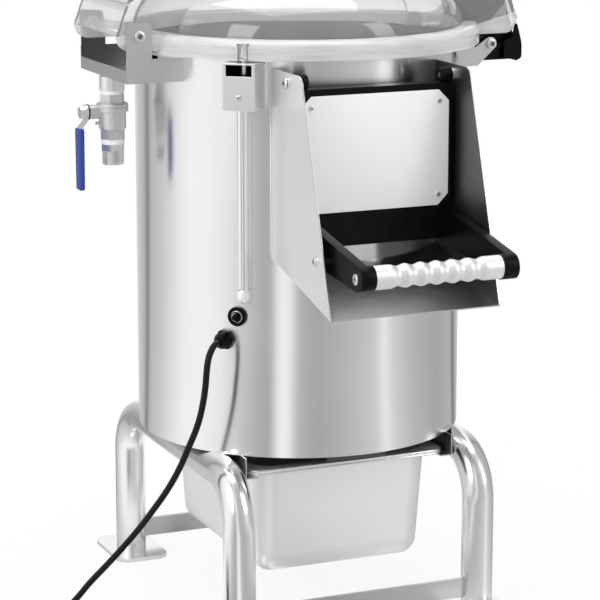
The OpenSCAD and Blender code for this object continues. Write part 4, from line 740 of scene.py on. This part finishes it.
def add_interlock_stud():
    """The steel stud and washer, and the clear fluted knob round it, that the CAD has as one piece."""
    low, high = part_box("interlock_pin")
    pin = middle("interlock_pin")
    to_pin = Matrix.Translation((pin.x, pin.y, 0))
    seat = high.z - 0.0178
    point_r, shank_r, washer_r, neck_r, top_r = 0.0046, 0.005, 0.0078, 0.0044, 0.0036
    washer_foot, washer_top = seat - 0.0016, seat - 0.0002
    neck_top, stud_top = high.z - 0.004, high.z - 0.003
    stud = spin_profile([(0, low.z), (point_r, low.z), (shank_r, low.z + 0.0006), (shank_r, washer_foot),
                         (washer_r, washer_foot), (washer_r, washer_top), (neck_r, seat), (neck_r, neck_top),
                         (top_r, stud_top), (0, stud_top)])
    stud.transform(to_pin)
    add_piece("interlock_stud", stud, "lid", "turned", "machined_steel", "interlock_pin")
    bore, knob_r, knob_top = 0.0046, 0.0097, high.z - 0.0002
    flutes, flute_share = 18, 0.09
    knob = spin_profile([(bore, seat), (knob_r - 0.0003, seat), (knob_r, seat + 0.0008),
                         (knob_r, knob_top - 0.001), (knob_r - 0.0009, knob_top), (bore + 0.0006, knob_top),
                         (bore, knob_top - 0.0008), (bore, seat)], steps=6 * flutes)
    for vert in knob.verts:
        if math.hypot(vert.co.x, vert.co.y) > (bore + knob_r) / 2:
            wave = max(0, math.cos(flutes * math.atan2(vert.co.y, vert.co.x)))
            vert.co.x *= 1 - flute_share * wave ** 2
            vert.co.y *= 1 - flute_share * wave ** 2
    smooth_faces(knob)
    knob.transform(to_pin)
    add_piece("interlock_knob", knob, "lid", "clear", "clear_plastic")


add_interlock_stud()


def add_window_shade_liner():
    """A black sheet inside the interlock box, behind its window: painted shade for the dark inside of the box.
    """
    width, depth, height, sheet = 0.0356, 0.031, 0.022, 0.001
    back, level = 0.2125, 0.698
    side_x, side_y = (width - sheet) / 2, back + depth / 2
    bm = bmesh.new()
    for x, y, size_x, size_y in ((0, back, width, sheet), (-side_x, side_y, sheet, depth),
                                 (side_x, side_y, sheet, depth)):
        made = bmesh.ops.create_cube(bm, size=1)
        bmesh.ops.scale(bm, vec=(size_x, size_y, height), verts=made["verts"])
        bmesh.ops.translate(bm, vec=(x, -y, level), verts=made["verts"])
    _, outward = out_from_drum("interlock_bracket", back, level)
    bm.transform(Matrix.Rotation(math.atan2(outward.x, -outward.y), 4, "Z"))
    add_piece("window_shade_liner", bm, "stand", "black", "black_plastic")


add_window_shade_liner()


def add_reset_collar():
    """The steel nut round the reset button, in front of its black ring."""
    at, outward = out_from_drum("reset_button", 0.2109, middle("reset_button").z)
    bore, flange_r, neck_r = 0.0045, 0.0076, 0.006
    flange_top, neck_top, corner = 0.0018, 0.0036, 0.0006
    collar = spin_profile([(bore, 0), (flange_r, 0), (flange_r, flange_top - corner),
                           (flange_r - corner, flange_top), (neck_r, flange_top), (neck_r, neck_top - corner),
                           (neck_r - corner, neck_top), (bore, neck_top), (bore, 0)])
    for face in collar.faces:
        face.smooth = abs(face.normal.z) < 0.99
    collar.transform(turn_to(outward, at))
    add_piece("reset_collar", collar, "stand", "turned", "machined_steel")


add_reset_collar()


def add_lever_grip():
    """The thick dipped sleeve on the valve's lever, a little narrower at its foot."""
    thickness, spread, foot_share, rounding = 0.0078, 0.002, 0.86, 0.0028
    low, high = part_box("lever_sleeve")
    size = high - low
    bm = bmesh.new()
    bmesh.ops.create_cube(bm, size=1)
    for vert in bm.verts:
        vert.co.y *= 1.0 if vert.co.z > 0 else foot_share
    bmesh.ops.scale(bm, vec=(thickness, size.y + spread, size.z), verts=bm.verts)
    bmesh.ops.translate(bm, vec=middle("lever_sleeve"), verts=bm.verts)
    bmesh.ops.bevel(bm, geom=bm.edges[:], offset=rounding, offset_type="OFFSET", segments=5, profile=0.5,
                    affect="EDGES", clamp_overlap=True, material=-1)
    for face in bm.faces:
        face.smooth = face.calc_area() < 1e-4
    add_piece("lever_grip", bm, "valve", "blue", "blue_plastic", "lever_sleeve")


add_lever_grip()


def add_pan_beads():
    """The two rolled beads along the edge of the peel pan."""
    radius, corner, inset = 0.0013, 0.016, 0.0006
    low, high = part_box("peel_pan")
    near, far = low + Vector((inset, inset, 0)), high - Vector((inset, inset, 0))
    corners = ((far.x - corner, far.y - corner, 0), (near.x + corner, far.y - corner, 90),
               (near.x + corner, near.y + corner, 180), (far.x - corner, near.y + corner, 270))
    for number, drop in enumerate((0.0012, 0.0052), 1):
        curve = bpy.data.curves.new(f"pan_bead_{number}", "CURVE")
        curve.dimensions = "3D"
        spline = curve.splines.new("POLY")
        points = []
        for x, y, start in corners:
            for step in range(9):
                turn = math.radians(start + step * 90 / 8)
                points.append((x + corner * math.cos(turn), y + corner * math.sin(turn), high.z - drop))
        spline.points.add(len(points) - 1)
        for knot, point in zip(spline.points, points):
            knot.co = (*point, 1)
            knot.radius = radius
        spline.use_cyclic_u = True
        curve.bevel_depth = 1
        curve.bevel_resolution = 3
        bead = bpy.data.objects.new(f"pan_bead_{number}", curve)
        bpy.context.scene.collection.objects.link(bead)
        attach(bead, "pan")
        finish_piece(bead, "tube")


add_pan_beads()


def add_valve_rings():
    """The valve's cap ring and the dark seal behind its lever."""
    bore, cap_r, groove_r = 0.0165, 0.0198, 0.0192
    cap_h, groove_z = 0.0103, 0.0056
    cap = [(bore, 0), (cap_r - 0.0005, 0), (cap_r, 0.0006), (cap_r, groove_z - 0.0005), (groove_r, groove_z),
           (cap_r, groove_z + 0.0005), (cap_r, cap_h - 0.0012), (cap_r - 0.0009, cap_h), (bore, cap_h),
           (bore, 0)]
    stem_r, seal_r, half = 0.0085, 0.0098, 0.0008
    seal = [(stem_r, -half), (seal_r, -half), (seal_r + 0.0003, 0), (seal_r, half), (stem_r, half),
            (stem_r, -half)]
    level = middle("valve_ball").z
    over_stem = turn_to((-1, 0, 0), (face_at("valve_body", 0, -1) + half, 0, level))
    over_body = Matrix.Translation((middle("inlet_nipple").x, 0, level - 0.0002))
    for name, profile, finish, slot, placed in (
        ("valve_cap_ring", cap, "plated", "plated_brass", over_body),
        ("valve_stem_seal", seal, "black", "black_plastic", over_stem),
    ):
        ring = spin_profile(profile)
        smooth_faces(ring, 35)
        ring.transform(placed)
        add_piece(name, ring, "stand", finish, slot)


add_valve_rings()

# Outline of the latch's end, in from its outer side and up from its foot
CHEEK_OUTLINE = [(0.0255, 0.0035), (0.0025, 0.0022), (0.0005, 0.0045), (0, 0.0085), (0, 0.0196),
                 (0.0011, 0.0265), (0.0044, 0.0385), (0.0068, 0.0472), (0.0084, 0.0478), (0.0096, 0.0465),
                 (0.012, 0.0375), (0.016, 0.029), (0.0255, 0.0265)]


def add_latch_cheeks():
    """The rounded ends of the latch, which stand up beside the lid's hood."""
    overlap, thickness, rounding = 0.0008, 0.0033, 0.0006
    low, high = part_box("lid_latch")
    bm = bmesh.new()
    for side in (-1, 1):
        inner = high.y - overlap
        corners = [bm.verts.new((high.x - back, side * inner, low.z + up)) for back, up in CHEEK_OUTLINE]
        grown = bmesh.ops.extrude_face_region(bm, geom=[bm.faces.new(corners)])
        moved = [part for part in grown["geom"] if isinstance(part, bmesh.types.BMVert)]
        bmesh.ops.translate(bm, vec=(0, side * thickness, 0), verts=moved)
    bmesh.ops.bevel(bm, geom=bm.edges[:], offset=rounding, offset_type="OFFSET", segments=2, profile=0.5,
                    affect="EDGES", material=-1)
    add_piece("latch_cheeks", bm, "latch", "black", "black_plastic")


add_latch_cheeks()


def add_conduit_foot():
    """The rounded end where the conduit goes into the drum."""
    radius, half_height, rise = 0.0084, 0.012, 0.0102
    profile = []
    for turn in range(-90, 91, 10):
        profile.append((radius * math.cos(math.radians(turn)), half_height * math.sin(math.radians(turn))))
    profile[0], profile[-1] = (0, -half_height), (0, half_height)
    foot = spin_profile(profile, steps=32)
    smooth_faces(foot)
    at, _ = out_from_drum("conduit_tube", 0.2125, face_at("conduit_tube", 2, -1) + rise)
    foot.transform(Matrix.Translation(at))
    add_piece("conduit_foot", foot, "stand", "pan", "machined_steel")


add_conduit_foot()


def add_welds():
    """The rippled beads that join the chute's cheeks to the drum."""
    low, high = 0.478, face_at("chute", 2, 1) - 0.004
    ripple, steps_per_ripple, bead_r, ripple_h = 0.0034, 6, 0.0012, 0.0003
    off_cheek, off_back = 0.0007, 0.0005
    count = int((high - low) / ripple * steps_per_ripple)
    for side, end in ((-1, "left"), (1, "right")):
        profile = [(0, low)]
        for step in range(count + 1):
            z = low + (high - low) * step / count
            profile.append((bead_r + ripple_h * math.sin(2 * math.pi * z / ripple), z))
        profile.append((0, high))
        bead = spin_profile(profile, steps=12)
        smooth_faces(bead)
        across = face_at("chute", 0, side) + side * off_cheek
        bead.transform(Matrix.Translation((across, face_at("chute", 1, 1) - off_back, 0)))
        add_piece(f"cheek_weld_{end}", bead, "stand", "turned", "machined_steel")


add_welds()


# Floor, backdrop and light
TO_CAMERA = (-0.3931, -0.9195, 0.0)
TO_LEFT = (-0.9195, 0.3931, 0.0)
# Studio cards as mirrors see them: half the turn from the camera, in degrees to the left, and brightness
CARDS = ((-90, 1.0), (-85, 0.95), (-79, 0.6), (-73, 0.42), (-70, 0.12), (-67, 0.5), (-55, 0.42), (-42, 0.52),
         (-33, 0.7), (-30, 0.95), (-27, 0.65), (-16, 0.52), (-7, 0.43), (0, 0.5), (3.5, 1.0), (6, 1.0),
         (9, 0.4), (17, 0.52), (26, 0.9), (34, 1.0), (42, 0.97), (48, 0.8), (56, 0.6), (62, 0.55),
         (65, 0.15), (68, 0.5), (78, 0.65), (86, 0.95), (90, 1.0))


def make_cards_group():
    """Brightness of the tall studio cards, by the side of the camera that a direction points to."""
    group = bpy.data.node_groups.new("studio_cards", "ShaderNodeTree")
    group.interface.new_socket("Direction", in_out="INPUT", socket_type="NodeSocketVector")
    group.interface.new_socket("Brightness", in_out="OUTPUT", socket_type="NodeSocketColor")
    n = Nodes(group)
    inside, outside = n.add("NodeGroupInput"), n.add("NodeGroupOutput")
    sides = []
    for direction in (TO_LEFT, TO_CAMERA):
        part = n.add("ShaderNodeVectorMath", operation="DOT_PRODUCT")
        n.join(inside.outputs[0], part.inputs[0])
        part.inputs[1].default_value = direction
        sides.append(part.outputs["Value"])
    turn = n.math("ARCTAN2", sides[0], sides[1])
    cards = n.add("ShaderNodeValToRGB")
    ramp = cards.color_ramp
    ramp.elements[0].color = (*grey(CARDS[0][1]), 1)
    ramp.elements[1].color = (*grey(CARDS[-1][1]), 1)
    for angle, level in CARDS[1:-1]:
        ramp.elements.new(0.5 + angle / 180).color = (*grey(level), 1)
    n.join(n.ramp(turn, -math.pi, math.pi), cards.inputs[0])
    n.join(cards.outputs[0], outside.inputs[0])
    return group


STUDIO = make_cards_group()


def add_floor():
    """A large pale floor: white to the camera with the object's soft shadow near it, and cards to mirrors."""
    bm = bmesh.new()
    bmesh.ops.create_grid(bm, x_segments=1, y_segments=1, size=30)
    mesh = bpy.data.meshes.new("floor")
    bm.to_mesh(mesh)
    bm.free()
    floor = bpy.data.objects.new("floor", mesh)
    bpy.context.scene.collection.objects.link(floor)
    material, n, shader = start_material("pale_floor", Roughness=1.0, Specular_IOR_Level=0.0)
    shader.inputs["Base Color"].default_value = (0.9, 0.9, 0.9, 1)
    place = n.add("ShaderNodeTexCoord")
    away = n.add("ShaderNodeVectorMath", operation="LENGTH")
    n.join(place.outputs["Object"], away.inputs[0])
    path = n.add("ShaderNodeLightPath")
    near = n.ramp(away.outputs["Value"], 0.35, 0.9, 0.88, 1.0)
    camera = n.math("MULTIPLY", path.outputs["Is Camera Ray"], near)
    mirrored = path.outputs["Is Glossy Ray"]
    seen = n.math("ADD", mirrored, path.outputs["Is Transmission Ray"])
    share = n.math("MINIMUM", n.math("ADD", camera, seen), 1.0)
    cards = place_group(n, STUDIO)
    n.join(place.outputs["Object"], cards.inputs[0])
    shade = n.add("ShaderNodeMix", data_type="RGBA")
    n.join(mirrored, shade.inputs[0])
    shade.inputs[6].default_value = (1, 1, 1, 1)
    n.join(cards.outputs[0], shade.inputs[7])
    white = n.add("ShaderNodeEmission", Strength=1.0)
    n.join(shade.outputs[2], white.inputs["Color"])
    blend = n.add("ShaderNodeMixShader")
    n.join(share, blend.inputs[0])
    n.join(shader.outputs[0], blend.inputs[1])
    n.join(white.outputs[0], blend.inputs[2])
    n.join(blend.outputs[0], n.tree.nodes["Material Output"].inputs["Surface"])
    floor.data.materials.append(material)


def add_world():
    """Plain light for matt surfaces, white behind the object, and tall soft cards for mirrors."""
    world = bpy.data.worlds.new("studio")
    bpy.context.scene.world = world
    world.use_nodes = True
    n = Nodes(world.node_tree)
    path = n.add("ShaderNodeLightPath")
    plain = world.node_tree.nodes["Background"]
    plain.inputs["Color"].default_value = (0.97, 0.98, 1, 1)
    plain.inputs["Strength"].default_value = 0.8
    place = n.add("ShaderNodeTexCoord")
    cards = place_group(n, STUDIO)
    n.join(place.outputs["Generated"], cards.inputs[0])
    banded = n.add("ShaderNodeBackground")
    n.join(cards.outputs[0], banded.inputs["Color"])
    white = n.add("ShaderNodeBackground")
    white.inputs["Strength"].default_value = 1.0
    mirrored = n.add("ShaderNodeMixShader")
    n.join(path.outputs["Is Glossy Ray"], mirrored.inputs[0])
    n.join(plain.outputs[0], mirrored.inputs[1])
    n.join(banded.outputs[0], mirrored.inputs[2])
    direct = n.math("ADD", path.outputs["Is Camera Ray"], path.outputs["Is Transmission Ray"])
    seen = n.math("MINIMUM", direct, 1.0)
    blend = n.add("ShaderNodeMixShader")
    n.join(seen, blend.inputs[0])
    n.join(mirrored.outputs[0], blend.inputs[1])
    n.join(white.outputs[0], blend.inputs[2])
    n.join(blend.outputs[0], n.tree.nodes["World Output"].inputs["Surface"])


def add_lamp(name, at, aim, size, power):
    data = bpy.data.lights.new(name, "AREA")
    data.shape = "RECTANGLE"
    data.size, data.size_y = size
    data.energy = power
    lamp = bpy.data.objects.new(name, data)
    lamp.location = at
    lamp.rotation_euler = (Vector(aim) - Vector(at)).to_track_quat("-Z", "Y").to_euler()
    bpy.context.scene.collection.objects.link(lamp)


add_floor()
add_world()
add_lamp("left_softbox", (-2.4, -1.2, 1.9), (0, 0, 0.45), (0.9, 1.8), 22)
add_lamp("right_softbox", (1.8, -2.2, 2.0), (0, 0, 0.45), (0.8, 1.8), 16)
add_lamp("top_softbox", (0, 0.2, 2.8), (0, 0, 0.4), (1.8, 1.8), 26)
bpy.context.scene.view_settings.view_transform = "Standard"
